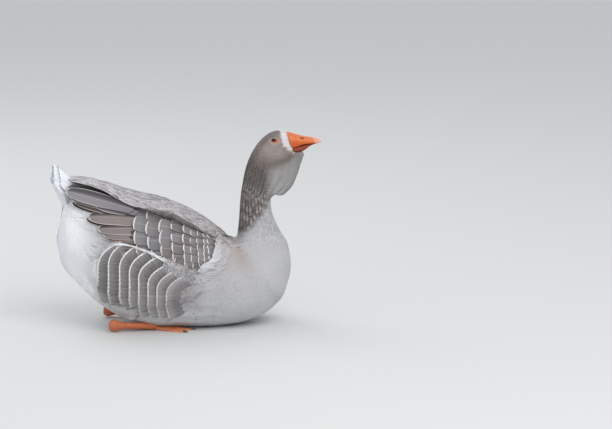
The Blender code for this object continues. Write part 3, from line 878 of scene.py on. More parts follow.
def plumage_tree(name, scatter):
    """Turns points that know their lie into feathers, bent to the bird."""
    tree = bpy.data.node_groups.new(name, "GeometryNodeTree")
    tree.interface.new_socket("Geometry", in_out="OUTPUT", socket_type="NodeSocketGeometry")
    for title, (kind, value) in PLUMAGE_INPUTS.items():
        made = tree.interface.new_socket(title, in_out="INPUT", socket_type="NodeSocket" + kind)
        if value is not None:
            made.default_value = value
    given = tree.nodes.new("NodeGroupInput").outputs
    points = scattered_points(tree, given) if scatter else given["Geometry"]
    any_way = random_value(tree, "FLOAT_VECTOR", (1, 1, 1), given["Seed"])
    wander = vector(tree, "SCALE", any_way, Scale=given["Lie spread"])
    lie = vector(tree, "NORMALIZE", vector(tree, "ADD", named(tree, "lie"), wander))
    turn = add(
        tree, "FunctionNodeAxesToRotation", {"primary_axis": "Z", "secondary_axis": "X"},
        Primary_Axis=named(tree, "out"), Secondary_Axis=lie,
    )
    chance = random_value(tree, "FLOAT", 1.0, maths(tree, "ADD", given["Seed"], 7))
    points = stored(tree, points, "chance", "FLOAT", "POINT", chance)
    spread = maths(tree, "MULTIPLY_ADD", named(tree, "chance", "FLOAT"), given["Size spread"], 1.0)
    size = vector(tree, "SCALE", named(tree, "size"), Scale=spread)
    vane = add(tree, "GeometryNodeObjectInfo", None, Object=given["Vane"]).outputs["Geometry"]
    laid = add(
        tree, "GeometryNodeInstanceOnPoints", None,
        Points=points, Instance=vane, Rotation=turn, Scale=size,
    )
    solid = add(tree, "GeometryNodeRealizeInstances", None, Geometry=laid)
    way = add(tree, "ShaderNodeSeparateXYZ", None, Vector=named(tree, "vane"))
    u, v = way.outputs["X"], maths(tree, "MULTIPLY_ADD", way.outputs["Y"], 2.0, -1.0)
    rise = product(tree, named(tree, "rise", "FLOAT"), maths(tree, "POWER", u, 0.8))
    droop = product(tree, named(tree, "cup", "FLOAT"), product(tree, v, v))
    arch = product(tree, u, 4.0, maths(tree, "SUBTRACT", 1.0, u))
    lifted = vector(tree, "SCALE", named(tree, "out"), Scale=maths(tree, "SUBTRACT", rise, droop))
    bowed = vector(tree, "SCALE", named(tree, "sag"), Scale=arch)
    offset = vector(tree, "ADD", lifted, bowed)
    bent = add(tree, "GeometryNodeSetPosition", None, Geometry=solid, Offset=offset)
    on_floor = vector(tree, "MAXIMUM", add(tree, "GeometryNodeInputPosition"), LOWEST)
    above = add(tree, "GeometryNodeSetPosition", None, Geometry=bent, Position=on_floor)
    corner = vector(tree, "SUBTRACT", named(tree, "vane"), (0.5, 0.5, 0.0))
    patch = vector(tree, "ADD", named(tree, "patch"), vector(tree, "SCALE", corner, Scale=given["Patch"]))
    mapped = stored(tree, above, "OFBake", "FLOAT2", "CORNER", patch)
    finished = add(tree, "GeometryNodeSetMaterial", None, Geometry=mapped, Material=given["Finish"])
    plug(tree, finished, tree.nodes.new("NodeGroupOutput").inputs[0])
    return tree


# %% Run the tree on a bed
SCATTERED = plumage_tree("scattered_plumage", scatter=True)
BEDDED = plumage_tree("bedded_plumage", scatter=False)
KEPT_LAYERS = ("position", "tint", "fringe", "chance", "vane", "OFBake", "material_index", "sharp_edge")


def set_plumage(name, bed, tree, **settings):
    """Runs the tree on a bed and returns the plain mesh object that it makes."""
    modifier = bed.modifiers.new(name, "NODES")
    modifier.node_group = tree
    for item in tree.interface.items_tree:
        wanted = item.name.lower().replace(" ", "_")
        if item.in_out == "INPUT" and wanted in settings:
            modifier[item.identifier] = settings[wanted]
    bed.update_tag()
    evaluated = bed.evaluated_get(bpy.context.evaluated_depsgraph_get())
    mesh = bpy.data.meshes.new_from_object(evaluated)
    bed.modifiers.remove(modifier)
    mesh.name = name
    for layer in list(mesh.attributes):
        if not layer.is_internal and not layer.is_required and layer.name not in KEPT_LAYERS:
            mesh.attributes.remove(layer)
    triangles = sum(len(p.vertices) - 2 for p in mesh.polygons)
    print(f"{name}: {triangles} triangles")
    return new_object(name, mesh)


# %% [markdown]
# ## Finish of a feather
#
# A vane is made of barbs that leave the shaft at a slant. They show as a fine grain, catch light
# along the shaft, and fade to a paler edge where the feather is worn. The base of each feather is
# darker, because the next one shades it. The finish reads the feather's own map, the colour of
# its place on the bird, and one chance value, so that no two neighbours are quite alike.

# %% Feather finishes
SHAFT_PALE = (214, 206, 200)


def feather_finish(name, barbs, variety, base_shade, fringe_colour, tip_from=0.86, side_from=0.8,
                   shade=(0.0, 0.62), relief=0.3, upper_shade=1.0):
    """Barbs is how many show, base_shade how dark the base is, shade where that ends, and tip_from
    and side_from where the pale edge starts. The upper shade is how dark the side is that lies
    towards the back, under the next feather."""
    finish, tree, shader = new_finish(name, 0.78, 0.25)
    shader.inputs["Sheen Weight"].default_value = 0.12
    shader.inputs["Sheen Roughness"].default_value = 0.4
    way = add(tree, "ShaderNodeSeparateXYZ", None, Vector=add(tree, "ShaderNodeUVMap", {"uv_map": "vane"}))
    u = way.outputs["X"]
    to_side = maths(tree, "MULTIPLY_ADD", way.outputs["Y"], 2.0, -1.0)
    across = maths(tree, "ABSOLUTE", to_side)
    given_fringe = attribute(tree, "fringe")  # its sign says which side of the bird it is on
    fringe = maths(tree, "ABSOLUTE", given_fringe)
    upper = product(tree, to_side, maths(tree, "SIGN", given_fringe))

    slant = maths(tree, "MULTIPLY_ADD", across, -0.35, u)
    grain = maths(tree, "SINE", product(tree, slant, barbs * tau))
    grain = maths(tree, "MULTIPLY_ADD", grain, 0.5, 0.5)
    worn = noise(tree, 900.0, 2.0)
    light = product(
        tree,
        maths(tree, "MULTIPLY_ADD", attribute(tree, "chance"), variety, 1.0),
        step_between(tree, u, *shade, base_shade, 1.0),
        maths(tree, "MULTIPLY_ADD", grain, 0.07, 0.95),
        step_between(tree, worn, 0.3, 0.7, 0.93, 1.05),
        step_between(tree, upper, -0.15, 0.55, 1.0, upper_shade),
    )
    colour = mixed(tree, 1.0, attribute(tree, "tint", "Color"), light, "MULTIPLY")

    rounded = maths(tree, "MULTIPLY_ADD", product(tree, across, across), 0.05, u)
    at_tip = step_between(tree, rounded, tip_from, tip_from + 0.05)
    at_side = step_between(tree, across, side_from, side_from + 0.1)
    at_side = product(tree, at_side, step_between(tree, u, 0.25, 0.6, 0.0, 0.75))
    edge = product(tree, maths(tree, "MAXIMUM", at_tip, at_side), fringe)
    colour = mixed(tree, edge, colour, paint(*fringe_colour))
    on_shaft = step_between(tree, across, 0.02, 0.07, 0.22, 0.0)
    colour = mixed(tree, on_shaft, colour, paint(*SHAFT_PALE))
    tree.links.new(colour, shader.inputs["Base Color"])
    bump(tree, shader, maths(tree, "ADD", grain, worn), relief, 0.0003)
    return finish


FACE = feather_finish("face_feathers", 4, 0.06, 0.86, (225, 220, 218))
NECK = feather_finish("neck_feathers", 6, 0.13, 0.72, (176, 169, 166))
BODY = feather_finish("body_feathers", 14, 0.025, 0.96, (236, 234, 236), 0.86, 0.8, (0.2, 0.8), 0.15)
print("finishes:", FACE.name, NECK.name, BODY.name)

# %% [markdown]
# ## Feather tracts of head, neck and body
#
# Feathers are about two millimetres on the face, a centimetre on the neck and two on the breast.
# The skin's grid carries their size and lie, and is divided into tracts, so that each tract is a
# piece of its own with its own spacing. Places deep under a wing or flank get none.

# %% Fields on the skin and small feathers
TRACTS = {  # number: name, vane, finish, spacing, how far the lie strays, slot
    1: ("coat_head", down_tuft, FACE, 0.0016, 0.07, "grey_plumage"),
    2: ("coat_neck", neck_vane, NECK, 0.0022, 0.08, "grey_plumage"),
    3: ("coat_breast", body_vane, BODY, 0.0034, 0.035, "pale_plumage"),
    4: ("coat_belly", body_vane, BODY, 0.004, 0.035, "pale_plumage"),
    5: ("coat_mantle", body_vane, BODY, 0.004, 0.05, "pale_plumage"),
    6: ("coat_stern", body_vane, BODY, 0.0034, 0.035, "white_plumage"),
}
TAIL_AIM = (-0.262, 0.0, 0.32)  # the stern's feathers all point to the tail
HIDDEN_UNDER = 0.006  # stand-off of wing or flank over which the body bears no feathers
BARE_CHIN = (0.229, 0.3375)  # ahead of this and above it the lower bill takes over, x and z


def tract_of(along, turn, stand):
    """The tract of a place, or 0 where wing or flank hides the skin."""
    if along > HEAD_START:
        return 1
    if along > NECK_START:
        return 2
    if stand > HIDDEN_UNDER and along > 0.5:
        return 0
    if along > 9.3:
        return 3
    if along < 4.2:
        return 6
    return 5 if turn < 0.42 * pi else 4


def feather_sizes(along, turn):
    """Length, width and thickness of the feathers at a place."""
    places = (-1, 2, 6, 9, 12, 14, 15.5, 18, 19.5, 22, 25, LAST)
    length = np.interp(along, places, (16, 17, 18, 18, 17, 13.5, 11.5, 9.5, 6.5, 5.2, 4.4, 3.8))
    width = np.interp(along, places, (9, 10, 11, 11, 10, 7.0, 5.6, 5.0, 4.6, 4.3, 3.9, 3.4))
    thick = np.interp(along, places, (0.3, 0.3, 0.3, 0.3, 0.3, 0.35, 0.35, 0.32, 0.26, 0.24, 0.22, 0.22))
    hollow = ease(8.8, 10.2, along) * (1 - ease(13.5, 14.5, along))
    smaller = 1 - 0.6 * hollow * (1 - ease(0.1 * pi, 0.45 * pi, turn))
    return np.stack([length * smaller, width * smaller, thick], axis=-1) * 0.001


def near_the_eye(points):
    """Share of their size that feathers keep near the eye and the bill."""
    x, z = points[..., 0], points[..., 2]
    by_eye = 0.3 + 0.7 * ease(1.1, 2.6, from_eye(x, z))
    return by_eye * (0.6 + 0.4 * ease(0.0, 0.006, -ahead_of_border(x, z)))


# %% Lay the small feathers
def lay_fields(skin):
    """Writes on every point of the skin what a feather rooted there needs to know."""
    turn = from_top(grid_round)
    size = feather_sizes(grid_along, turn)
    size[..., :2] *= np.where(grid_along > FACE_START, near_the_eye(skin_points), 1.0)[..., None]
    normals = np.array([vertex.normal for vertex in skin.data.vertices])[: loft_out[..., 0].size]
    own = np.maximum(1 - ease(2.0, 3.0, grid_along), ease(17.5, 18.5, grid_along))
    out = blended(loft_out, normals.reshape(loft_out.shape), own)
    to_tail = unit(np.array(TAIL_AIM) - loft)
    aimed = blended(loft_lie, to_tail, 1 - ease(0.8, 3.6, grid_along))
    lie = unit(aimed - out * (aimed * out).sum(axis=-1, keepdims=True))
    crest, strength, _ = furrow(loft, grid_along, grid_round)
    fields = {
        "lie": lie,
        "out": out,
        "size": size,
        "sag": out * 0.0004,
        "rise": coat_depth(grid_along) * 0.45,
        "cup": 0.03 * size[..., 1],
        "fringe": np.where(grid_along > 13.5, 0.1 + 0.5 * strength * crest, 0.15),
    }
    for name, grid in fields.items():
        flat = grid.reshape(-1, *grid.shape[2:])
        kind = "FLOAT_VECTOR" if flat.ndim == 2 else "FLOAT"
        write_attribute(skin.data, name, kind, np.concatenate([flat, flat[:1], flat[-1:]]))


def divide_in_tracts(skin):
    """Writes on every face of the skin which tract it belongs to."""
    rows, columns = grid_along.shape
    turn = from_top(grid_round)
    tracts = []
    for face in skin.data.polygons:
        row, column = next(divmod(v, columns) for v in face.vertices if v < rows * columns)
        tract = tract_of(skin_along[row] + 0.01, turn[row, column], stand_off[row, column])
        x, _, z = face.center
        at_chin = x > BARE_CHIN[0] and z > BARE_CHIN[1]
        bare = from_eye(x, z) < 0.95 or ahead_of_border(x, z) > 0.0 or at_chin
        tracts.append(0 if tract == 1 and bare else tract)
    write_attribute(skin.data, "tract", "INT", tracts, "FACE")
    return np.array(tracts)


def dress_tract(skin, number, tracts):
    """Scatters one tract, with an unwrap stretched over its own stretch of skin."""
    name, vane, finish, spacing, lie_spread, slot = TRACTS[number]
    rows, columns = grid_along.shape
    first_points = [skin.data.polygons[i].vertices[0] for i in np.flatnonzero(tracts == number)]
    rows_here = [min(point // columns, rows - 1) for point in first_points]
    span = (skin_along[min(rows_here)], skin_along[min(max(rows_here) + 1, rows - 1)])
    add_unwrap(skin.data, "patch", *span)
    made = set_plumage(
        name, skin, SCATTERED, vane=vane, finish=finish, tract=number, spacing=spacing,
        size_spread=0.08, lie_spread=lie_spread, seed=number,
    )
    skin.data.uv_layers.remove(skin.data.uv_layers["patch"])
    belongs(made, slot)


lay_fields(skin)
tracts = divide_in_tracts(skin)
for number in TRACTS:
    dress_tract(skin, number, tracts)

# %% [markdown]
# ## Large feathers, laid one by one
#
# Wing, flank and tail feathers are few, and each has its own place, so they are not scattered.
# Their tips are drawn in the side view, where a folded wing reads best. A ray from the side finds
# the solid under the root, the middle and the tip of each one, which gives its length, its slope
# and its bow, and two more rays beside its middle give how much its edges droop.

# %% Beds for large feathers
WING_SURFACE = surface_of("wing_left", "flank_left", "trunk")
FROM_SIDE = 0.2  # where level rays start, clear of the bird


def seen_from_side(x, z, surface, y_if_missed=0.05):
    """The point where a level ray from the goose's left meets the surface."""
    hit = surface.ray_cast(Vector((x, FROM_SIDE, z)), Vector((0, -1, 0)), FROM_SIDE)
    return np.array(hit[0] if hit[0] is not None else (x, y_if_missed, z))


def snapped(point, surface):
    """The nearest place of the surface, and which way that faces."""
    place, normal, _, _ = surface.find_nearest(Vector(point))
    return np.array(place), np.array(normal)


# %% A bed of large feathers
class Bed:
    """Feathers of one kind, waiting to be laid: one row for each, of what the tree reads."""

    def __init__(self, surface, most_droop=0.08):
        self.surface = surface
        self.most_droop = most_droop
        self.rows = []

    def lay_from_side(self, root, tip, *look):
        """One feather from root to tip, both (x, z) from the side."""
        ends = [seen_from_side(*end, self.surface) for end in (root, tip)]
        self.lay(*ends, *look)

    def lay(self, root, tip, width, thick, lifts, tint, fringe):
        """One feather between two places of the surface; lifts are at its root, middle and tip."""
        middle = (root + tip) / 2
        at = [snapped(point, self.surface) for point in (root, middle, tip)]
        places = [place + normal * lift for (place, normal), lift in zip(at, lifts)]
        way = places[2] - places[0]
        lie = unit(way)
        out = at[0][1] + 2 * at[1][1] + at[2][1]
        out = unit(out - lie * out.dot(lie))
        aside = np.cross(out, lie)
        sag = places[1] - (places[0] + places[2]) / 2
        droop = 0.0
        for sign in (-1, 1):
            beside, _ = snapped(at[1][0] + aside * width * 0.45 * sign, self.surface)
            droop += (at[1][0] - beside).dot(out) / 2
        droop = float(np.clip(droop, 0.0, self.most_droop * width))
        self.rows.append((places[0], lie, out, sag, droop, np.linalg.norm(way), width, thick, tint, fringe))

    def add(self, root, tip, out, width, thick, bow, tint, fringe):
        """One feather that no surface carries: its middle is bowed outwards."""
        way = tip - root
        lie = unit(way)
        out = unit(out - lie * out.dot(lie))
        self.rows.append((root, lie, out, out * bow, 0.0, np.linalg.norm(way), width, thick, tint, fringe))

    def mesh(self, name, side):
        """The points with their attributes, on the goose's left (1) or right (-1)."""
        flip = np.array([1, side, 1])
        roots, lies, outs, sags = (np.array([row[k] for row in self.rows]) * flip for k in range(4))
        bed = mesh_object(name + "_bed", roots, [])
        data = bed.data
        for field, values in (("lie", lies), ("out", outs), ("sag", sags)):
            write_attribute(data, field, "FLOAT_VECTOR", values)
        write_attribute(data, "cup", "FLOAT", [row[4] for row in self.rows])
        write_attribute(data, "size", "FLOAT_VECTOR", [row[5:8] for row in self.rows])
        write_attribute(data, "rise", "FLOAT", np.zeros(len(self.rows)))
        write_tint(data, [row[8] for row in self.rows])
        write_attribute(data, "fringe", "FLOAT", [row[9] * side for row in self.rows])
        place = roots[:, [0, 2]]
        low, high = place.min(axis=0), place.max(axis=0)
        patch = 0.03 + 0.94 * (place - low) / np.maximum(high - low, 1e-6)
        write_attribute(data, "patch", "FLOAT_VECTOR", np.c_[patch, np.zeros(len(patch))])
        return bed


def set_bed(name, bed, side, slot, *solids, **settings):
    """The feathers of a bed, as one piece."""
    points = bed.mesh(name, side)
    made = set_plumage(name, points, BEDDED, size_spread=0.0, **settings)
    bpy.data.objects.remove(points)
    belongs(made, slot, *solids)


def lay_both_sides(name, bed, vane, finish, slot, lie_spread=0.015):
    """The same bed on both sides. Each vane is turned, not mirrored, so its faces stay outwards."""
    for side_name, side, seed in (("left", 1, 4), ("right", -1, 3)):
        set_bed(
            f"{name}_{side_name}", bed, side, slot,
            vane=vane, finish=finish, lie_spread=lie_spread, patch=0.02, seed=seed,
        )


def along_line(line, share):
    """A point a share of the way along a line of several pieces."""
    line = np.asarray(line, float)
    steps = np.linalg.norm(np.diff(line, axis=0), axis=1)
    reach = np.concatenate([[0], np.cumsum(steps)]) / steps.sum()
    return np.array([np.interp(share, reach, line[:, i]) for i in range(line.shape[1])])


def way_along(line, share, step):
    """Which way a line runs at a share of it, and the way a quarter turn to the left of that."""
    ahead = unit(along_line(line, min(share + step, 1)) - along_line(line, max(share - step, 0)))
    return ahead, np.array([-ahead[1], ahead[0]])


# %% [markdown]
# ## The folded wing
#
# On a folded wing the rows of coverts lie one over the next, each ending in a pale bar, and get
# shorter towards the bend. Behind them the quills of the arm come out in steps, the innermost on
# top, each with a thin pale edge and a shadow beneath. Seen from the side they open like a fan:
# the low ones lie level and the high ones climb to the tail.

# %% Coverts and quills of the wing
SCAPULAR_EDGE = (  # lower edge of the pale shoulder feathers over the wing, from the side
    (0.053, 0.174), (0.0355, 0.1888), (0.013, 0.2017), (-0.0143, 0.2205), (-0.04, 0.235),
    (-0.098, 0.247), (-0.1327, 0.262), (-0.1575, 0.274), (-0.185, 0.283),
)
WING_LOW_EDGE = (
    (-0.14, 0.176), (-0.12, 0.172), (-0.1, 0.165), (-0.08, 0.157), (-0.0576, 0.147),
    (-0.039, 0.136), (-0.015, 0.122), (0.018, 0.123), (0.05, 0.142),
)
COVERT_ROWS = (  # x of the row's rearmost pale tips, feather width, how far its top and foot bend forwards
    (-0.113, 0.029, 0.014, 0.004), (-0.088, 0.029, 0.016, 0.008), (-0.0635, 0.028, 0.018, 0.007),
    (-0.0405, 0.026, 0.012, 0.004), (-0.0175, 0.023, 0.008, 0.004), (-0.003, 0.02, 0.008, 0.008),
    (0.011, 0.017, 0.006, 0.006), (0.0225, 0.014, 0.005, 0.005), (0.032, 0.012, 0.004, 0.005),
    (0.0405, 0.01, 0.003, 0.004),
)
COVERT_GREY = linear(138, 130, 129)
COVERT_DARK = linear(112, 103, 100)
COVERT_BLUE = linear(132, 134, 142)
QUILL_GREY = linear(140, 135, 139)
QUILL_BROWN = linear(138, 128, 125)
QUILL_DARK = linear(112, 101, 96)
# dark as the hand's feathers are, and also painted shadow along the wing's rear edge
PRIMARY_DARK_AND_SHADE = linear(78, 68, 66)
QUILLS = (  # tip (x, z), root (x, z), width, lift, colour, from the lowest to the one on top
    ((-0.141, 0.166), (-0.06, 0.16), 0.013, -0.001, QUILL_BROWN),
    ((-0.148, 0.173), (-0.06, 0.168), 0.014, -0.0006, QUILL_BROWN),
    ((-0.155, 0.18), (-0.06, 0.176), 0.014, -0.0002, QUILL_BROWN),
    ((-0.1625, 0.188), (-0.06, 0.184), 0.015, 0.0003, QUILL_BROWN),
    ((-0.1705, 0.197), (-0.06, 0.193), 0.017, 0.0009, QUILL_BROWN),
    ((-0.18, 0.208), (-0.06, 0.205), 0.022, 0.0016, QUILL_BROWN),
    ((-0.224, 0.26), (-0.09, 0.226), 0.028, 0.0012, QUILL_DARK),
    ((-0.1975, 0.231), (-0.065, 0.218), 0.029, 0.0027, QUILL_BROWN),
    ((-0.185, 0.252), (-0.075, 0.233), 0.03, 0.0038, QUILL_GREY),
)
HIGH_QUILLS = (  # tip and root (x, y, z) and width of those that stand clear over the rump
    ((-0.233, 0.048, 0.273), (-0.1, 0.078, 0.24), 0.027),
    ((-0.2405, 0.052, 0.282), (-0.11, 0.08, 0.245), 0.027),
    ((-0.238, 0.036, 0.285), (-0.11, 0.062, 0.249), 0.026),
    ((-0.232, 0.022, 0.2865), (-0.11, 0.042, 0.251), 0.026),
    ((-0.224, 0.008, 0.287), (-0.11, 0.018, 0.252), 0.024),
)
QUILL_STEP = 0.002  # how far each quill stands clear of the one beneath, which makes its shadow


# %% Lay the feathers of the wing
def edge_height(line, x):
    """Height of an edge, drawn from the side, at x."""
    line = np.array(sorted(line))
    return float(np.interp(x, line[:, 0], line[:, 1]))


def lay_coverts():
    """Rows of coverts from the wing's rear to its bend, each from foot to top."""
    chance = np.random.default_rng(11)
    bed = Bed(WING_SURFACE)
    for row, (x_row, width, top_bend, low_bend) in enumerate(COVERT_ROWS):
        gap = COVERT_ROWS[max(row, 1) - 1][0] - COVERT_ROWS[max(row, 1)][0]
        length = max(abs(gap) * 1.9, 0.028)
        low = edge_height(WING_LOW_EDGE, x_row) + 0.002
        high = edge_height(SCAPULAR_EDGE, x_row) + 0.012
        count = max(int(round((high - low) / (width * 0.62))), 3)
        for k in range(count):
            share = k / (count - 1)
            z = low + (high - low) * share
            x = x_row + top_bend * max(2 * share - 1, 0) ** 2 + low_bend * max(1 - 2 * share, 0) ** 2
            x += chance.normal(0, 0.0006)
            climb = radians(1 + 26 * share)
            root = (x + length * math.cos(climb), z - length * math.sin(climb))
            tint = blended(COVERT_GREY, COVERT_DARK, chance.uniform(0, 1))
            tint = blended(tint, COVERT_BLUE, chance.uniform(0, 0.55))
            top = (0.006 - 0.00038 * row) * (0.45 + 0.55 * ease(0, 0.35, share)) + 0.0001 * k
            lifts = (top - 0.0042, top - 0.0012, top)
            bed.lay_from_side(root, (x, z), width * 1.2, 0.0006, lifts, tint, 1.0)
    return bed


def lay_quills():
    """Quills on the wing, and above them those that stand clear of it."""
    bed = Bed(WING_SURFACE)
    for tip, root, width, lift, colour in QUILLS:
        lifts = (lift - 0.002, lift, lift + QUILL_STEP)
        bed.lay_from_side(root, tip, width * 1.15, 0.0008, lifts, colour, 0.85)
    for tip, root, width in HIGH_QUILLS:
        out = unit(np.array([-0.1, 12 * root[1], 0.75]))
        bed.add(np.array(root), np.array(tip), out, width * 1.15, 0.0008, 0.0015, QUILL_GREY, 0.85)
    return bed


def lay_primaries():
    """Dark tips of the hand's feathers, below the quills of the arm. They are dark as such feathers are,
    and also stand for the shadow along the wing's rear edge on the rump.
    """
    bed = Bed(WING_SURFACE)
    lifts = (-0.003, -0.0025, -0.0005)
    for tip, root, width, _, _ in QUILLS[:-1]:
        low_root, low_tip = (root[0], root[1] - 0.004), (tip[0] - 0.0035, tip[1] - 0.0045)
        bed.lay_from_side(low_root, low_tip, width * 0.9, 0.0006, lifts, PRIMARY_DARK_AND_SHADE, 0.0)
    return bed


COVERTS = feather_finish("covert_feathers", 26, 0.07, 0.68, (224, 216, 212), 0.915, 0.985, (0.35, 0.8))
QUILL_VANES = feather_finish(
    "quill_feathers", 46, 0.05, 0.86, (226, 218, 214), 0.965, 0.88, upper_shade=0.32,
)
lay_both_sides("wing_primaries", lay_primaries(), quill_vane, QUILL_VANES, "grey_plumage")
lay_both_sides("wing_quills", lay_quills(), quill_vane, QUILL_VANES, "grey_plumage")
lay_both_sides("wing_coverts", lay_coverts(), covert_vane, COVERTS, "grey_plumage")

# %% [markdown]
# ## Shoulders and back
#
# The shoulder feathers are long and loose, with pale edges. They bridge the hollow between the
# folded wings like a low roof, hang over the top of both wings, so that no wing seems stuck on,
# and run on to the rump, clear of the quills, with a dark gap beneath. The roof is one curved
# sheet that is worked out first, and the feathers are then laid on it in even rows. A few rows
# more hang from the sheet's edge, and close the step down to the wing.

# %% Shoulder feathers
ROOF = np.array([  # x, half width, height of the edge, height of the middle
    (0.085, 0.024, 0.17, 0.176), (0.07, 0.046, 0.174, 0.187), (0.053, 0.066, 0.179, 0.201),
    (0.0355, 0.07, 0.1925, 0.213), (0.013, 0.076, 0.207, 0.2265), (-0.0143, 0.08, 0.2245, 0.239),
    (-0.04, 0.081, 0.2385, 0.249), (-0.072, 0.08, 0.245, 0.258), (-0.1046, 0.079, 0.249, 0.267),
    (-0.1321, 0.072, 0.26, 0.2765), (-0.1535, 0.062, 0.2745, 0.2845), (-0.1859, 0.049, 0.288, 0.2925),
    (-0.2188, 0.036, 0.2945, 0.2965), (-0.24, 0.022, 0.2975, 0.2985),
])
ROOF_CURVE = 2.4  # how flat the middle is: 2 is a parabola
ROW_STEP, FILE_STEP = 0.011, 0.0066


# %% The roof and its rows
def roof_place(way, side):
    """A place of the roof: way from the neck 0 to the rump 1, side from -1 to 1."""
    x, half, low, high = curve_through(ROOF, np.asarray(way) * (len(ROOF) - 1))
    return np.array([x, half * side, high - (high - low) * abs(side) ** ROOF_CURVE])


def roof_tree(rows=40, columns=33):
    """The roof as a sheet that the feathers can be laid on."""
    ways, sides = np.linspace(0, 1, rows), np.linspace(-1, 1, columns)
    points = [Vector(roof_place(w, v)) for w in ways for v in sides]
    corners = [r * columns + k for r in range(rows - 1) for k in range(columns - 1)]
    faces = [(a, a + 1, a + columns + 1, a + columns) for a in corners]
    return BVHTree.FromPolygons(points, faces)


def lay_shoulders():
    """Rows across the roof, from the neck to the rump, each half a step aside."""
    chance = np.random.default_rng(37)
    bed = Bed(roof_tree(), 0.12)
    middle = [roof_place(w, 0) for w in np.linspace(0, 1, 120)]
    reach = np.concatenate([[0], np.cumsum(np.linalg.norm(np.diff(middle, axis=0), axis=1))])
    for row, place in enumerate(np.arange(0.018, reach[-1] + 0.001, ROW_STEP)):
        way = float(np.interp(place, reach, np.linspace(0, 1, 120)))
        half = roof_place(way, 1.0)[1]
        files = max(int(half / FILE_STEP), 2)
        for file in range(files + 1):
            side = min((file + 0.5 * (row % 2)) / files, 1.0)
            slip = chance.normal(0, 0.0065) / reach[-1]
            side = min(side * chance.uniform(0.96, 1.02), 1.02)
            tip = roof_place(min(way + slip, 1.0), side) + chance.normal(0, 0.0008, 3)
            length = float(np.interp(way, (0, 0.25, 0.6, 1), (0.018, 0.036, 0.05, 0.07)))
            length *= chance.uniform(0.85, 1.15)
            narrower = side * (0.94 - 0.06 * chance.uniform())
            before = roof_place(max(way - length / reach[-1], 0.0), narrower)
            root = tip + unit(before - tip) * length
            width = float(np.interp(way, (0, 0.3, 1), (0.007, 0.0105, 0.0125)))
            tint = blended(MANTLE_GREY, QUILL_GREY, chance.uniform(0.0, 0.9))
            tint = blended(SHOULDER_GREY, tint, ease(0.05, 0.35, way))
            top = 0.0012 + 0.0005 * chance.uniform(-1, 1)
            bed.lay(root, tip, width, 0.0005, (top - 0.004, top - 0.001, top), tint, 0.8)
    return bed


def edge_and_wing(x):
    """The roof's edge at x, and where the wing's side first shows below it."""
    edge = np.array([x, *(np.interp(x, ROOF[::-1, 0], ROOF[::-1, k]) for k in (1, 2))])
    for drop in np.arange(0.004, 0.026, 0.002):
        place = seen_from_side(x, edge[2] - drop, WING_SURFACE)
        if place[1] > 0.055:
            return edge, place + (0, 0.0038, 0)
    return edge, edge - (0, 0.004, 0.012)


def lay_shoulder_edge():
    """Rows that hang from the roof's edge and carry it down on to the wing."""
    chance = np.random.default_rng(61)
    bed = Bed(None)
    for row, share in enumerate((1.0, 0.72, 0.44, 0.16)):
        for x in np.arange(0.056, -0.122, -0.0058):
            tip_x = x - 0.0029 * (row % 2) + chance.normal(0, 0.0008)
            root_x = tip_x + chance.uniform(0.019, 0.023)
            edge, wing = edge_and_wing(tip_x)
            tip = edge + (wing - edge) * share
            down = unit(wing - edge)
            edge, wing = edge_and_wing(root_x)
            root = edge + (wing - edge) * max(share - 0.3, -0.1) - (0, 0.0012, 0)
            out = np.array([0.0, -down[2], down[1]])
            tint = blended(MANTLE_GREY, COVERT_GREY, 0.5 * share + chance.uniform(-0.3, 0.3))
            bed.add(root, tip + out * 0.0004 * (4 - row), out, 0.0095, 0.0004, 0.0006, tint, 0.6)
    return bed


SHOULDERS = feather_finish(
    "shoulder_feathers", 24, 0.12, 0.62, (226, 222, 223), 0.93, 0.58, (0.55, 0.95), 0.3,
)
lay_both_sides("shoulder_feathers", lay_shoulders(), scapular_vane, SHOULDERS, "pale_plumage", 0.03)
lay_both_sides("shoulder_edge", lay_shoulder_edge(), scapular_vane, SHOULDERS, "pale_plumage", 0.03)

# %% [markdown]
# ## Shawl of the breast
#
# A swimming or resting goose tucks the bend of its wing into the soft feathers of the breast. They
# close over the front of the wing and under its lower edge like a shawl. The outer rows take the
# colour of the skin that they run out on, which a search tree over the skin's points looks up, so
# that the shawl has no rim of its own.

# %% Soft feathers over the front of the wing
SHAWL_EDGE = (  # its innermost row over the wing, from the neck down and back
    (0.056, 0.182), (0.048, 0.17), (0.044, 0.156), (0.039, 0.144), (0.023, 0.1335),
    (0.008, 0.1255), (-0.015, 0.1265), (-0.039, 0.1415), (-0.056, 0.15),
)
SHAWL_ROWS, SHAWL_FILES = 9, 28
SHAWL_STEP = 0.0038
BODY_SURFACE = surface_of(*SHELLS, "trunk")
SKIN_PLACES = KDTree(grid_along.size)
for index, point in enumerate(skin_points.reshape(-1, 3)):
    SKIN_PLACES.insert(point, index)
SKIN_PLACES.balance()


def skin_tint(x, z):
    """Colour of the skin's markings at a place of the side view."""
    place = seen_from_side(x, z, BODY_SURFACE)
    return skin_colour.reshape(-1, 3)[SKIN_PLACES.find(place)[1]]


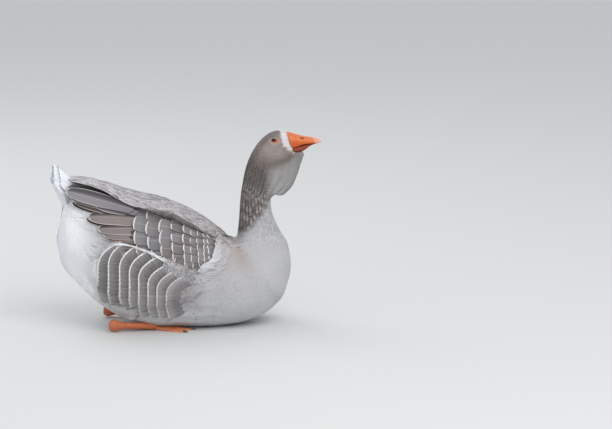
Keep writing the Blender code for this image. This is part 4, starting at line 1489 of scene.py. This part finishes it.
def lay_shawl():
    """Rows that follow the wing's front edge, the innermost one over the wing."""
    chance = np.random.default_rng(43)
    bed = Bed(BODY_SURFACE, 0.15)
    for row in range(SHAWL_ROWS):
        for k in range(SHAWL_FILES):
            share = (k + 0.5 * (row % 2)) / SHAWL_FILES
            tip = along_line(SHAWL_EDGE, share)
            ahead, outward = way_along(SHAWL_EDGE, share, 0.06)
            tip = tip + outward * SHAWL_STEP * row * (1 - 0.5 * share) + chance.normal(0, 0.0008, 2)
            lie = unit(ahead + (-0.45, 0.12) + chance.normal(0, 0.04, 2))
            root = tip - lie * chance.uniform(0.021, 0.025)
            tint = blended(BREAST_GREY * 0.94, WHITE_STERN, chance.uniform(0.0, 0.2) + 0.25 * (row < 2))
            tint = blended(tint, SHOULDER_GREY, (1 - ease(0.0, 0.25, share)) * 0.8)
            tint = blended(tint, skin_tint(*tip), ease(2, 7, row))
            under_wing = blended(FLANK_GREY, FLANK_PALE, chance.uniform(0.0, 0.7))
            tint = blended(tint, under_wing, 1 - ease(-0.008, 0.02, tip[0]))
            top = 0.0062 - (0.0005 + 0.0004 * (1 - ease(0.12, 0.34, share))) * row
            lifts = (top - 0.005, top - 0.0016, top)
            bed.lay_from_side(root, tip, 0.0115, 0.0003, lifts, tint, 0.3)
    return bed


# %% [markdown]
# ## Tail
#
# The tail is a shallow fan of stiff white quills, the middle ones on top, with short soft coverts
# round their roots above and below. It is cocked up behind the folded wings.

# %% Tail quills and coverts
TAIL_ROOT, TAIL_TIP = np.array([-0.2075, 0.0, 0.244]), np.array([-0.266, 0.0, 0.3285])
TAIL_HALF_ROOT, TAIL_HALF_TIP = 0.022, 0.043
TAIL_ARCH = 0.017  # how far the outer quills lie below the middle ones
TAIL_WEDGE = 0.016  # half depth of the tail at its root, coverts and all
TAIL_QUILLS = 14
QUILL_WHITE, TAIL_COVERT_WHITE = linear(236, 238, 243), linear(234, 236, 240)
tail_way = unit(TAIL_TIP - TAIL_ROOT)
tail_up = np.array([tail_way[2], 0.0, -tail_way[0]])


def tail_place(reach, side, below=0.0):
    """A place of the fan: reach from root 0 to tip 1, side from -1 to 1."""
    half = TAIL_HALF_ROOT + (TAIL_HALF_TIP - TAIL_HALF_ROOT) * reach
    point = TAIL_ROOT + (TAIL_TIP - TAIL_ROOT) * reach
    return point + (0, half * side, 0) - tail_up * (TAIL_ARCH * side**2 - 0.004 + below)


def lay_tail():
    """Quills, then rows of coverts over and under them, which give the tail its wedge."""
    chance = np.random.default_rng(47)
    bed = Bed(None)
    for side in np.linspace(-1, 1, TAIL_QUILLS):
        far = 1.0 - 0.27 * side**2
        root, tip = tail_place(-0.25, side * 0.9), tail_place(far, side)
        out = tail_up + (0, side, 0)
        bed.add(root, tip, out, 0.0165, 0.001, 0.002 * abs(side), QUILL_WHITE, 0.0)
    for side_up, rows, farthest in ((1, 6, 0.86), (-1, 8, 0.93)):
        for row in range(rows):
            for side in np.linspace(-1, 1, 12 + row % 2):
                reach = farthest - 0.12 * row - 0.22 * side**2 + chance.normal(0, 0.012)
                root = tail_place(reach - 0.4, side * 0.88, -side_up * TAIL_WEDGE * (1.4 - reach))
                tip = tail_place(reach, side * 0.98, -side_up * TAIL_WEDGE * (1.02 - reach))
                shade = chance.uniform(0.98, 1.04)
                out = tail_up * side_up + (0, 1.2 * side, 0)
                bed.add(root, tip, out, 0.015, 0.0006, 0.001, TAIL_COVERT_WHITE * shade, 0.0)
    return bed


TAIL_VANES = feather_finish("tail_feathers", 40, 0.02, 0.98, (250, 250, 252), 0.93, 0.9, (0.2, 0.8), 0.2)
set_bed(
    "tail_feathers", lay_tail(), 1, "white_plumage", "tail",
    vane=quill_vane, finish=TAIL_VANES, lie_spread=0.01, patch=0.03, seed=5,
)

# %% [markdown]
# ## Flanks
#
# The flank of this breed is striped like a shell. Each stripe is the pale tip line of one row of
# long feathers. The rows stand upright at the waterline and bend forwards at the top, where they
# fold over the wing's lower edge in one white rim, so the low feathers point back and the high
# ones point up.

# %% Striped flanks
FLANK_RIM = (  # from the side, from the rear forwards
    (-0.188, 0.14), (-0.179, 0.164), (-0.164, 0.1745), (-0.153, 0.1805), (-0.144, 0.1826),
    (-0.13, 0.183), (-0.115, 0.1785), (-0.1, 0.172), (-0.08, 0.1635), (-0.0576, 0.153),
    (-0.039, 0.142), (-0.015, 0.127),
)
RIM_FEATHERS = 26
STRIPES = (  # foot x, top (x, z), slope where the stripe joins the rim
    (-0.1835, -0.16, 0.1745, 0.6), (-0.164, -0.1365, 0.18, 0.5), (-0.143, -0.112, 0.175, 0.47),
    (-0.124, -0.089, 0.166, 0.43), (-0.1065, -0.067, 0.156, 0.38), (-0.0885, -0.044, 0.143, 0.32),
    (-0.071, -0.026, 0.132, 0.3), (-0.053, -0.009, 0.121, 0.28),
)
FLANK_FOOT = 0.036
STRIPE_BEND = 0.042  # height of the curved part of a stripe


def stripe_line(foot_x, top_x, top_z, slope, low=FLANK_FOOT):
    """A stripe, straight up from its foot and then curving forwards to the rim."""
    knee = np.array([foot_x, top_z - STRIPE_BEND])
    turn = np.array([foot_x, top_z - (top_x - foot_x) * slope])
    top = np.array([top_x, top_z])
    t = np.linspace(0, 1, 16)[:, None]
    curve = knee * (1 - t) ** 2 + turn * 2 * t * (1 - t) + top * t**2
    return np.vstack([[foot_x + 0.006, low], [foot_x, low + 0.024], curve])


# %% Lay the stripes, the soft feathers and the rim
def lay_flanks():
    """Long feathers, row behind row, whose pale tips draw the stripes."""
    chance = np.random.default_rng(23)
    bed = Bed(WING_SURFACE)
    for stripe, shape in enumerate(STRIPES):
        line = stripe_line(*shape, FLANK_FOOT + 0.026 * (1 - ease(0, 5, stripe)))
        reach = np.linalg.norm(np.diff(line, axis=0), axis=1).sum()
        count = int(reach / 0.0085)
        for k in range(count + 1):
            share = k / count
            tip = along_line(line, share)
            _, back = way_along(line, share, 0.03)
            length = 0.036 - 0.01 * share
            root = tip - back * length
            pale = ease(4.0, 7.5, stripe + chance.uniform(-0.3, 0.3))
            pale = max(pale, 1 - ease(0.05, 0.1, tip[1] + chance.normal(0, 0.006)))
            tint = blended(FLANK_GREY, FLANK_PALE, pale)
            lift = 0.0006 + 0.0003 * stripe
            lifts = (lift - 0.002, lift - 0.0002, lift + 0.0007)
            bed.lay_from_side(root, tip, 0.017, 0.0006, lifts, tint, 1 - 0.5 * pale)
    return bed


def stripe_place(stripe, z):
    """How far forward a stripe reaches at a height."""
    line = stripe_line(*STRIPES[stripe])
    return float(np.interp(z, line[:, 1], line[:, 0]))


def lay_soft_flank(bed):
    """Small feathers behind and under the flank, and over its front, where the stripes fade."""
    chance = np.random.default_rng(53)
    for row, x in enumerate(np.arange(0.046, -0.215, -0.0058)):
        high = edge_height(FLANK_RIM, x) - 0.004
        for z in np.arange(0.02, max(high, 0.124) + 0.004, 0.0068):
            tip = np.array([x, z + 0.0034 * (row % 2)]) + chance.normal(0, 0.0012, 2)
            lie = unit(np.array([-0.9, -0.25 - 0.5 * (z > 0.09)]) + chance.normal(0, 0.06, 2))
            root = tip - lie * chance.uniform(0.019, 0.024)
            in_front = stripe_place(-1, tip[1]) + 0.002 < tip[0]
            behind = tip[0] < stripe_place(0, tip[1]) + 0.014
            if in_front or behind or tip[1] < 0.072:
                tint = blended(FLANK_GREY, FLANK_PALE, chance.uniform(0.2, 1.0))
                ahead, low = ease(-0.022, 0.03, tip[0]), 1 - ease(0.035, 0.07, tip[1])
                tint = blended(tint, skin_tint(*tip), max(ahead, low, 1.0 * behind))
                lower = 0.0012 * ease(-0.01, 0.046, tip[0]) if in_front else 0.0016
                lifts = np.array([-0.004, 0.0004, 0.001]) - lower
                bed.lay_from_side(root, tip, 0.011, 0.0003, lifts, tint, 0.1)
    return bed


def lay_flank_rim():
    """White feathers, one behind the next along the flank's upper edge, tips to the rear."""
    chance = np.random.default_rng(29)
    bed = Bed(WING_SURFACE)
    for k in range(RIM_FEATHERS):
        share = 0.27 + 0.65 * k / (RIM_FEATHERS - 1)
        slip = chance.normal(0, 0.0006)
        tip = along_line(FLANK_RIM, share) + (0, -0.002 + slip)
        root = along_line(FLANK_RIM, min(share + 0.12, 1.0)) + (0, -0.005 + slip)
        tint = blended(WHITE_STERN, BREAST_GREY, chance.uniform(0.1, 0.9))
        tint = blended(tint, FLANK_PALE, ease(-0.07, -0.035, tip[0]))
        top = 0.0062 - 0.0008 * share
        width = 0.0022 + 0.0028 * ease(8, 22, k)
        bed.lay_from_side(root, tip, width, 0.0004, (top - 0.0035, top - 0.0006, top), tint, 0.3)
    return bed


FLANKS = feather_finish("flank_feathers", 24, 0.04, 0.62, (226, 222, 220), 0.885, 0.985, (0.4, 0.84))
soft_bed = lay_soft_flank(lay_shawl())
lay_both_sides("flank_feathers", lay_flanks(), covert_vane, FLANKS, "grey_plumage", 0.02)
lay_both_sides("flank_rim", lay_flank_rim(), covert_vane, BODY, "white_plumage", 0.02)
lay_both_sides("breast_shawl", soft_bed, scapular_vane, BODY, "pale_plumage", 0.03)

# %% [markdown]
# ## Bill
#
# The bill is bone in a horny sheath, deep at its root, with a raised ridge, a pale nail at the tip
# and a slit nostril on each side. It could be carved from a block, but a loft between an upper and
# a lower line gives its straight ridge and its wavy gape directly, so it is lofted here, with the
# nostril pressed in and the nail's edge raised by small changes of height. Its colours carry painted
# light along the top, and painted shade in the nostril, along the gape, low on the upper sheath and
# over the lower sheath.

# %% Upper and lower bill
UPPER_SHEATH = np.array([  # ridge (x, z), cutting edge (x, z), half width
    (0.199, 0.3775, 0.2065, 0.3515, 0.016), (0.2015, 0.38, 0.2113, 0.3492, 0.0188),
    (0.2056, 0.3806, 0.2145, 0.349, 0.019), (0.2118, 0.379, 0.219, 0.35, 0.0181),
    (0.2182, 0.3768, 0.224, 0.3518, 0.017), (0.2275, 0.374, 0.231, 0.3543, 0.0157),
    (0.2372, 0.3716, 0.239, 0.356, 0.0147), (0.247, 0.3698, 0.2475, 0.3569, 0.0142),
    (0.2561, 0.3683, 0.2565, 0.3577, 0.0135), (0.264, 0.3664, 0.264, 0.3583, 0.0117),
    (0.269, 0.3643, 0.269, 0.3587, 0.0087), (0.2716, 0.3618, 0.2716, 0.3591, 0.0045),
])
LOWER_SHEATH = np.array([  # cutting edge (x, z), underside (x, z), half width
    (0.206, 0.35, 0.213, 0.34, 0.016), (0.212, 0.35, 0.218, 0.3392, 0.0172),
    (0.22, 0.3512, 0.227, 0.3402, 0.016), (0.229, 0.3535, 0.2355, 0.342, 0.0147),
    (0.2375, 0.3552, 0.242, 0.3466, 0.0136), (0.246, 0.3564, 0.25, 0.3524, 0.0124),
    (0.254, 0.3572, 0.257, 0.3556, 0.0104), (0.261, 0.3578, 0.263, 0.357, 0.007),
])
NOSTRIL = (0.2318, 0.369, 0.004, 0.0013)  # centre x, z and half length, half height
NAIL_START = 0.2535
UPPER_TIP, LOWER_TIP = (0.2722, 0.0, 0.3603), (0.264, 0.0, 0.3577)
TEETH = np.arange(0.2185, 0.26, 0.0011)  # places along the bill
# painted light: the ridge colour, lighter, lies along the top of the bill
BILL_ORANGE, BILL_TOP_LIGHT = linear(204, 86, 4), linear(210, 108, 42)
# painted shade: the deep colour fills the nostril and the gape; the edge colour is the cutting edge's own,
# with painted shade low on the sheath
BILL_EDGE_AND_SHADE, BILL_DEEP_SHADE = linear(186, 78, 34), linear(112, 36, 22)
# painted shade: the lower sheath's orange is darker than the upper's, as it lies under the bill
LOWER_ORANGE_SHADED = linear(138, 48, 4)
NAIL_PINK = linear(224, 168, 144)


# %% Sheaths and their comb of teeth
def sheath_grid(table, widest, upper, lower, rows, columns):
    """Points of a bill's half between its ridge and its cutting edge."""
    places = np.linspace(0, len(table) - 1, rows)
    shape = np.column_stack([curve_through(table, places), np.tile((widest, upper, lower), (rows, 1))])
    turns = np.linspace(0, tau, columns, endpoint=False)
    return section_point(shape[:, None, :], turns[None, :] * np.ones((rows, 1)))


def closed_mesh(name, grid, tint, start=None, end=None):
    """A closed mesh from rings of points, with a colour for each point."""
    points = with_poles(grid)
    points[-2:] = points[-2] if start is None else start, points[-1] if end is None else end
    made = face_outwards(mesh_object(name, points, ring_faces(*grid.shape[:2], "poles")))
    write_tint(made.data, with_poles(tint))
    return made


def make_upper_bill():
    grid = sheath_grid(UPPER_SHEATH, 0.74, 2.2, 3.4, 150, 112)
    middle = (grid.max(axis=1, keepdims=True) + grid.min(axis=1, keepdims=True)) / 2
    out = unit(grid - middle)
    x, y, z = np.moveaxis(grid, -1, 0)
    ahead, up = x - NOSTRIL[0], z - NOSTRIL[1]
    in_slit = np.hypot(ahead / NOSTRIL[2], (up + 0.12 * ahead) / NOSTRIL[3])
    on_side = np.abs(y) > 0.004
    slit = (1 - ease(0.55, 1.25, in_slit)) * on_side
    rim = np.exp(-(((in_slit - 1.7) / 0.5) ** 2)) * on_side
    nail_line = NAIL_START + 12 * y**2 + 0.25 * np.maximum(0.366 - z, 0)
    nail = ease(-0.0004, 0.0004, x - nail_line)
    groove = np.exp(-(((x - nail_line) / 0.0006) ** 2))
    folds = np.sin(x * 1900 + 2 * wobble(x, y, z, 0.004)) * (1 - ease(0.207, 0.225, x))
    height = -0.0026 * slit + 0.00035 * rim + 0.0003 * nail - 0.00025 * groove + 0.00008 * folds
    grid = grid + out * height[..., None]
    over_edge = z - np.interp(x, UPPER_SHEATH[:, 2], UPPER_SHEATH[:, 3])
    # partly the cutting edge's own darker red, partly painted shade on the sheath's lower side
    tint = blended(BILL_EDGE_AND_SHADE, BILL_ORANGE, ease(0.0, 0.0045, over_edge))
    # painted light: the top of the bill is coloured lighter
    tint = blended(tint, BILL_TOP_LIGHT, ease(0.355, 0.37, z + 0.15 * (x - 0.235)))
    tint = tint * (1 + 0.07 * wobble(x, y, z, 0.0035))[..., None]
    tint = blended(tint, NAIL_PINK, nail * (0.75 + 0.25 * ease(0.262, 0.268, x)))
    # painted shade: the nostril's slit is coloured dark
    tint = blended(tint, BILL_DEEP_SHADE, slit)
    return closed_mesh("upper_bill", grid, tint, end=UPPER_TIP)


def make_lower_bill():
    grid = sheath_grid(LOWER_SHEATH, 0.35, 4.0, 2.2, 100, 88)
    x, y, z = np.moveaxis(grid, -1, 0)
    gape = 1 - ease(0.0, 0.0026, np.interp(x, LOWER_SHEATH[:, 0], LOWER_SHEATH[:, 1]) - z)
    # painted shade: the lower sheath is darker all over, and darker still along the gape under the upper
    # sheath
    tint = blended(LOWER_ORANGE_SHADED, BILL_DEEP_SHADE, gape * 0.8)
    tint = blended(tint, NAIL_PINK, 0.5 * ease(0.25, 0.258, x))
    tint = tint * (1 + 0.08 * wobble(x, y, z, 0.003))[..., None]
    return closed_mesh("lower_bill", grid, tint, end=LOWER_TIP)


def make_comb():
    """The small horny teeth along the upper cutting edge, which cut grass."""
    points, faces = [], []
    for side in (-1, 1):
        for x in TEETH:
            edge = np.interp(x, UPPER_SHEATH[:, 2], UPPER_SHEATH[:, 3])
            half = np.interp(x, UPPER_SHEATH[:, 2], UPPER_SHEATH[:, 4]) - 0.003
            corner = np.array([x, side * half, edge + 0.0018])
            first = len(points)
            for dx, dy in ((-0.0004, -0.0005), (0.0004, -0.0005), (0.0004, 0.0005), (-0.0004, 0.0005)):
                points.append(corner + (dx, dy, 0.0))
            points.append(corner + (-0.0002, side * 0.0002, -0.0023))
            faces += [(first + k, first + (k + 1) % 4, first + 4) for k in range(4)]
            faces.append((first + 3, first + 2, first + 1, first))
    return face_outwards(mesh_object("bill_comb", np.array(points), faces))


# %% Finishes of horn and bare skin
def horn_finish(name, roughness, scale, depth):
    """Living horn or bare skin: its colour from the points, fine pores and a low shine."""
    finish, tree, shader = new_finish(name, roughness, 0.5)
    pores = mottled(tree, shader, attribute(tree, "tint", "Color"), scale, 4.0, 0.86, 1.06)
    bump(tree, shader, pores, 0.25, depth)
    shader.inputs["Coat Weight"].default_value = 0.15
    shader.inputs["Coat Roughness"].default_value = 0.3
    return finish


def plain_finish(name, colour, roughness, scale):
    """Dry horn of one colour, a little uneven."""
    finish, tree, shader = new_finish(name, roughness, 0.5)
    mottled(tree, shader, (*colour, 1.0), scale, 3.0, 0.8, 1.1)
    return finish


HORN = horn_finish("bill_sheath", 0.42, 900.0, 0.0003)
COMB_HORN = plain_finish("bill_comb", linear(150, 72, 40), 0.5, 1500.0)
belongs(make_upper_bill(), "bill_horn", "bill_upper", finish=HORN)
belongs(make_lower_bill(), "bill_horn", "bill_lower", finish=HORN)
belongs(make_comb(), "bill_horn", finish=COMB_HORN)
print("teeth on each side of the bill:", len(TEETH))

# %% [markdown]
# ## Eyes and lids
#
# A goose's eye is a ball of which only a small almond shows. Bare orange lids cover the rest, thick
# in front and below. The ball has a dark brown iris round the pupil and a wet, bulging front. A
# painted disc would look dead from the side, so each eye is a whole ball, as deep as a real one,
# with a shining coat, and the lids are a rolled ring that is laid on ball and skin.

# %% Eyeballs and lids
EYE_BALL, EYE_PROUD = 0.0085, 0.0012  # its radius, and how far it stands out of the skin
EYE_AXIS = unit(np.array([-0.08, 1.0, 0.34]))  # where the left eye looks
IRIS, PUPIL = 0.0062, 0.0031  # radii
EYE_BULGE = 0.0005  # of the front of the eye over the ball
IRIS_BROWN, IRIS_DARK = linear(64, 36, 22), linear(34, 18, 12)
EYE_RIM, PUPIL_BLACK = linear(58, 42, 36), linear(8, 6, 6)
SKIN_SURFACE = BVHTree.FromPolygons(
    [v.co.copy() for v in skin.data.vertices], [tuple(face.vertices) for face in skin.data.polygons],
)
LID_OUTER = (0.0018, -0.001, 0.0084, 0.0045)  # middle ahead, up, half width, half height
LID_INNER = (0.0, 0.0004, 0.0048, 0.0029)
LID_ORANGE, LID_DARK = linear(206, 104, 60), linear(96, 52, 38)
LID_PROFILE = (  # share of the way from the inner to the outer edge, height over ball or skin
    (0.0, -0.0016), (0.0, 0.0001), (0.1, 0.0007), (0.3, 0.001), (0.55, 0.0008), (0.8, 0.0004),
    (1.0, 0.0000), (1.08, -0.0014),
)


def eye_frame(side):
    """Middle of the ball, and its directions outwards, ahead and up, on one side."""
    out = EYE_AXIS * (1, side, 1)
    up = unit(np.array([0.0, 0.0, 1.0]) - out * out[2])
    ahead = np.cross(up, out) * -side
    place = Vector((EYE_PLACE[0], 0.2 * side, EYE_PLACE[1]))
    hit = SKIN_SURFACE.ray_cast(place, Vector((0, -side, 0)))[0]
    return np.array(hit) + out * (EYE_PROUD - EYE_BALL), out, ahead, up


def make_eye(side, name, rows=96, columns=64):
    """A ball in rings round the eye's axis, bulging in front."""
    middle, out, ahead, up = eye_frame(side)
    turns = around(columns)
    ring = np.cos(turns)[:, None] * ahead + np.sin(turns)[:, None] * up
    grid = np.empty((rows, columns, 3))
    for k, tilt in enumerate(np.linspace(0.03, pi - 0.03, rows)):
        bulge = EYE_BULGE * (1 - ease(0.0, IRIS, math.sin(tilt) * EYE_BALL))
        level = EYE_BALL * math.cos(tilt) + bulge
        grid[k] = middle + EYE_BALL * math.sin(tilt) * ring + out * level
    from_axis = np.linalg.norm(np.cross(grid - middle, out), axis=-1)
    in_front = ((grid - middle) @ out) > 0
    brown = blended(IRIS_BROWN, IRIS_DARK, 0.5 + 0.5 * np.sin(turns * 21)[None, :])
    tint = np.where((in_front & (from_axis < IRIS))[..., None], brown, EYE_RIM)
    tint = np.where((in_front & (from_axis < PUPIL))[..., None], PUPIL_BLACK, tint)
    front = middle + out * (EYE_BALL + EYE_BULGE)
    ball = closed_mesh("eyeball_" + name, grid, tint, front, middle - out * EYE_BALL)
    belongs(ball, "dark_eye", "eye_" + name, finish=EYE_FINISH)


# %% Lids round the ball
def lid_edge(outline, turn):
    """A place, ahead and up, on the inner or outer edge of the lids."""
    mid_ahead, mid_up, wide, high = outline
    cos, sin = math.cos(turn), math.sin(turn)
    return np.array([mid_ahead + wide * cos, mid_up + high * sin * abs(sin) ** 0.25])


def make_lids(side, name):
    """A rolled ring from inside the ball's surface out to inside the skin."""
    middle, out, ahead, up = eye_frame(side)
    points, tints = [], []
    turns = around(72)
    for share, lift in LID_PROFILE:
        for turn in turns:
            inner, outer = lid_edge(LID_INNER, turn), lid_edge(LID_OUTER, turn)
            a, b = inner + (outer - inner) * share
            on_ball = math.sqrt(max(EYE_BALL**2 - a * a - b * b, 1e-8)) + 0.0004
            start = middle + ahead * a + up * b + out * 0.03
            hit, _, _, distance = SKIN_SURFACE.ray_cast(Vector(start), Vector(-out))
            on_skin = 0.03 - distance if hit else on_ball
            level = max(on_ball, on_skin) if share < 0.9 else on_skin
            points.append(middle + ahead * a + up * b + out * (level + lift))
            tints.append(blended(LID_ORANGE, LID_DARK, 1 - ease(0.05, 0.25, share)))
    rows, columns = len(LID_PROFILE), len(turns)
    last = (rows - 1) * columns
    faces = ring_faces(rows, columns)
    faces += [(last + k, k, (k + 1) % columns, last + (k + 1) % columns) for k in range(columns)]
    lids = face_outwards(mesh_object("eyelids_" + name, points, faces))
    write_tint(lids.data, tints)
    belongs(lids, "orange_skin", finish=LID_FINISH)


EYE_FINISH, eye_tree, eye_shader = new_finish("iris_and_pupil", 0.5, 0.05)
eye_tree.links.new(attribute(eye_tree, "tint", "Color"), eye_shader.inputs["Base Color"])
eye_shader.inputs["Coat Weight"].default_value = 0.5
eye_shader.inputs["Coat Roughness"].default_value = 0.03
LID_FINISH = horn_finish("bare_lids", 0.5, 1600.0, 0.0004)
SIDES = ((1, "left"), (-1, "right"))
for side, side_name in SIDES:
    make_eye(side, side_name)
    make_lids(side, side_name)

# %% [markdown]
# ## Legs and feet
#
# The bare part of a goose's leg and its webbed foot are covered with small scales over orange skin,
# with broad plates along the front and the top of each toe, and a blunt claw on each toe. Here the
# bird rests, so the legs lie folded under it. Plates and knuckles are small changes of height on a
# fine grid. The web between is thin and creased, and the claws are bodies of their own.

# %% Scaly legs, webbed feet and claws
HOCK, HEEL = np.array([-0.153, 0.074, 0.0135]), np.array([-0.072, 0.064, 0.0085])
SHANK_ROWS = np.array([  # share of the way from hock to heel, half width, half height
    (-0.09, 0.002, 0.0026), (-0.08, 0.0062, 0.008), (0.03, 0.0089, 0.0118), (0.14, 0.0073, 0.0089),
    (0.32, 0.0054, 0.0065), (0.84, 0.0062, 0.0065), (0.97, 0.0077, 0.0071), (1.06, 0.0058, 0.0048),
    (1.08, 0.002, 0.0018),
])
TOES = np.array([(-23.0, 0.066), (0.0, 0.085), (23.0, 0.075)])  # direction in degrees, length with its claw
FOOT_TURN, TOE_HALF = radians(6), radians(4.2)
CLAW = 0.0085  # length of a claw
WEB, WEB_DIP = 0.0017, 0.007  # thickness of the web, and how far its edge is hollowed
TOE_HIGH, PALM = 0.0078, 0.0095
PLATE = 0.0034  # length of one plate of a toe
SHANK_PLATE, SHANK_SCALE = 0.003, 0.0017  # along the front of the shank, and round the rest
PLATE_RELIEF = 0.00028
FOOT_ORANGE, FOOT_PALE = linear(200, 110, 66), linear(222, 148, 110)
FOOT_DARK, CLAW_HORN = linear(120, 52, 30), linear(96, 78, 66)


def scales(along, round_):
    """Height of overlapping plates: 0 in the seam, 1 on the plate."""
    return np.abs(np.sin(pi * (along + 0.18 * np.cos(round_)))) ** 0.35


def make_shank(side, name, rows=130, columns=48):
    """The bare leg, with plates in front and small scales round the rest."""
    places = curve_through(SHANK_ROWS, np.linspace(0, len(SHANK_ROWS) - 1, rows))
    turns = around(columns)
    along = unit(HEEL - HOCK)
    across = unit(np.array([0.0, 1.0, 0.0]) - along * along[1])
    rise = np.cross(along, across)
    rise = rise * np.sign(rise[2])
    length = np.linalg.norm(HEEL - HOCK)
    share, wide, high = (places[:, k : k + 1] for k in range(3))
    plates = scales(share * length / SHANK_PLATE, turns[None, :])
    by_turns = 0.5 * (np.arange(columns) % 2)[None, :]
    small = scales(share * length / SHANK_SCALE + by_turns, turns[None, :] * 5)
    in_front = ease(0.1, 0.6, np.sin(turns))[None, :]
    relief = PLATE_RELIEF * blended(small[..., None], plates[..., None], in_front)[..., 0]
    reach = 1 + relief / wide
    grid = (HOCK + along * length * share)[:, None, :]
    grid = grid + across * (np.cos(turns) * wide * reach)[..., None]
    grid = grid + rise * (np.sin(turns) * high * reach)[..., None]
    grid[..., 2] = np.maximum(grid[..., 2], 0.0002)
    grid[..., 1] *= side
    shade = relief / relief.max()
    tint = blended(FOOT_DARK, FOOT_ORANGE, ease(0.2, 0.8, shade))
    return closed_mesh("leg_" + name, grid, tint)


# %% Webbed foot and claws
def toe_reach(angle):
    """How far the foot reaches in a direction, less on the web than on a toe."""
    toes, lengths = np.radians(TOES[:, 0]), TOES[:, 1] - CLAW
    straight = np.interp(angle, toes, lengths)
    middle = np.abs(np.sin(pi * (angle - toes[0]) / (toes[1] - toes[0])))
    on_toe = np.abs(angle[..., None] - toes).min(axis=-1)
    return straight - WEB_DIP * middle * ease(TOE_HALF * 0.6, TOE_HALF * 1.6, on_toe)


def make_foot(side, name, count=97, steps=60):
    """A fan from the heel: its top, a flat sole and a rim."""
    toes = np.radians(TOES[:, 0])
    angles = np.linspace(toes[0] - TOE_HALF, toes[-1] + TOE_HALF, count)
    reach = toe_reach(angles)
    t = np.linspace(0.0, 1.0, steps)[:, None]
    distance = 0.004 + (reach - 0.004) * t
    off_toe = np.abs(angles[:, None] - toes).min(axis=1)
    narrow = (0.003 + 0.001 * (1 - t)) / np.maximum(distance, 0.006)  # half angle of a toe of even width
    ridge = np.exp(-((off_toe / narrow) ** 2) * 1.2)
    knuckles = 1 + 0.1 * np.cos(6 * pi * t)
    plates = scales(distance / PLATE, 0 * distance)
    toe = TOE_HIGH * (1 - 0.58 * t) * knuckles + 0.00025 * plates
    creases = 0.00035 * np.sin(angles[None, :] * 150 + 3 * np.sin(distance * 220)) * (1 - ridge)
    web = WEB + creases + 0.0002 * wobble(distance * 60, angles[None, :] * 60, t * 9, 1.0)
    palm = PALM * np.exp(-((t / 0.17) ** 2)) * (1 - 0.2 * (off_toe / TOE_HALF > 2))
    height = np.maximum(web + np.maximum(toe - web, 0) * ridge, palm)
    height = height * np.sqrt(np.clip(1 - t**14, 0.02, 1))
    x = HEEL[0] + distance * np.cos(angles + FOOT_TURN)
    y = HEEL[1] + distance * np.sin(angles + FOOT_TURN)
    top = np.stack([x, y * side, np.maximum(height, 0.0004)], axis=-1)
    sole = np.stack([x, y * side, 0 * height + 0.0001], axis=-1)
    points = np.concatenate([top.reshape(-1, 3), sole.reshape(-1, 3)])
    faces, under = [], steps * count
    for r in range(steps - 1):
        for k in range(count - 1):
            a, b = r * count + k, (r + 1) * count + k
            faces += [(a, a + 1, b + 1, b), (under + a, under + b, under + b + 1, under + a + 1)]
    rim = list(range(count)) + [r * count + count - 1 for r in range(1, steps)]
    rim += [(steps - 1) * count + k for k in range(count - 2, -1, -1)]
    rim += [r * count for r in range(steps - 2, 0, -1)]
    faces += [(a, b, b + under, a + under) for a, b in zip(rim, rim[1:] + rim[:1])]
    foot = face_outwards(mesh_object("webbed_foot_" + name, points, faces))
    tint = blended(FOOT_PALE, FOOT_ORANGE, ease(0.1, 0.7, ridge))
    tint = blended(FOOT_DARK, tint, ease(0.15, 0.7, np.maximum(plates, 1 - ridge)) * 0.8 + 0.2)
    write_tint(foot.data, np.vstack([tint.reshape(-1, 3), np.tile(FOOT_PALE, (under, 1))]))
    return foot


def make_claws(side, name, rows=14, columns=20):
    """Three short curved cones from the toes' ends down to the ground."""
    points, faces = [], []
    turns = around(columns)
    for angle, length in zip(np.radians(TOES[:, 0]) + FOOT_TURN, TOES[:, 1]):
        ahead = np.array([math.cos(angle), math.sin(angle), 0.0])
        across = np.array([-ahead[1], ahead[0], 0.0])
        start = HEEL * (1, 1, 0) + ahead * (length - CLAW - 0.0025)
        first = len(points)
        for t in np.linspace(0, 1, rows):
            size = 0.0024 * math.sqrt(1 - 0.97 * t * t)
            centre = start + ahead * (CLAW + 0.0015) * t + (0, 0, 0.003 - 0.0014 * t * t)
            for turn in turns:
                spot = centre + across * size * 0.8 * math.cos(turn) + (0, 0, size * math.sin(turn))
                points.append(np.maximum(spot, (-1, -1, 0.0002)) * (1, side, 1))
        faces += [tuple(first + v for v in face) for face in ring_faces(rows, columns, "caps")]
    return face_outwards(mesh_object("claws_" + name, np.array(points), faces))


SCALY = horn_finish("scaly_skin", 0.55, 700.0, 0.0004)
CLAW_FINISH = plain_finish("claw_horn", CLAW_HORN, 0.4, 900.0)
for side, side_name in SIDES:
    belongs(make_shank(side, side_name), "orange_skin", "shank_" + side_name, finish=SCALY)
    belongs(make_foot(side, side_name), "orange_skin", "foot_" + side_name, finish=SCALY)
    belongs(make_claws(side, side_name), "bill_horn", finish=CLAW_FINISH)
print("toes with claws:", 2 * len(TOES))

# %% [markdown]
# ## The finished goose
#
# The skin stands for all the solids of flesh, and the vanes that served as moulds are removed.

# %% Finish
belongs(skin, "pale_plumage", *FLESH, *SHELLS, "thigh_left", "thigh_right")
for mould in MOULDS:
    bpy.data.objects.remove(mould)
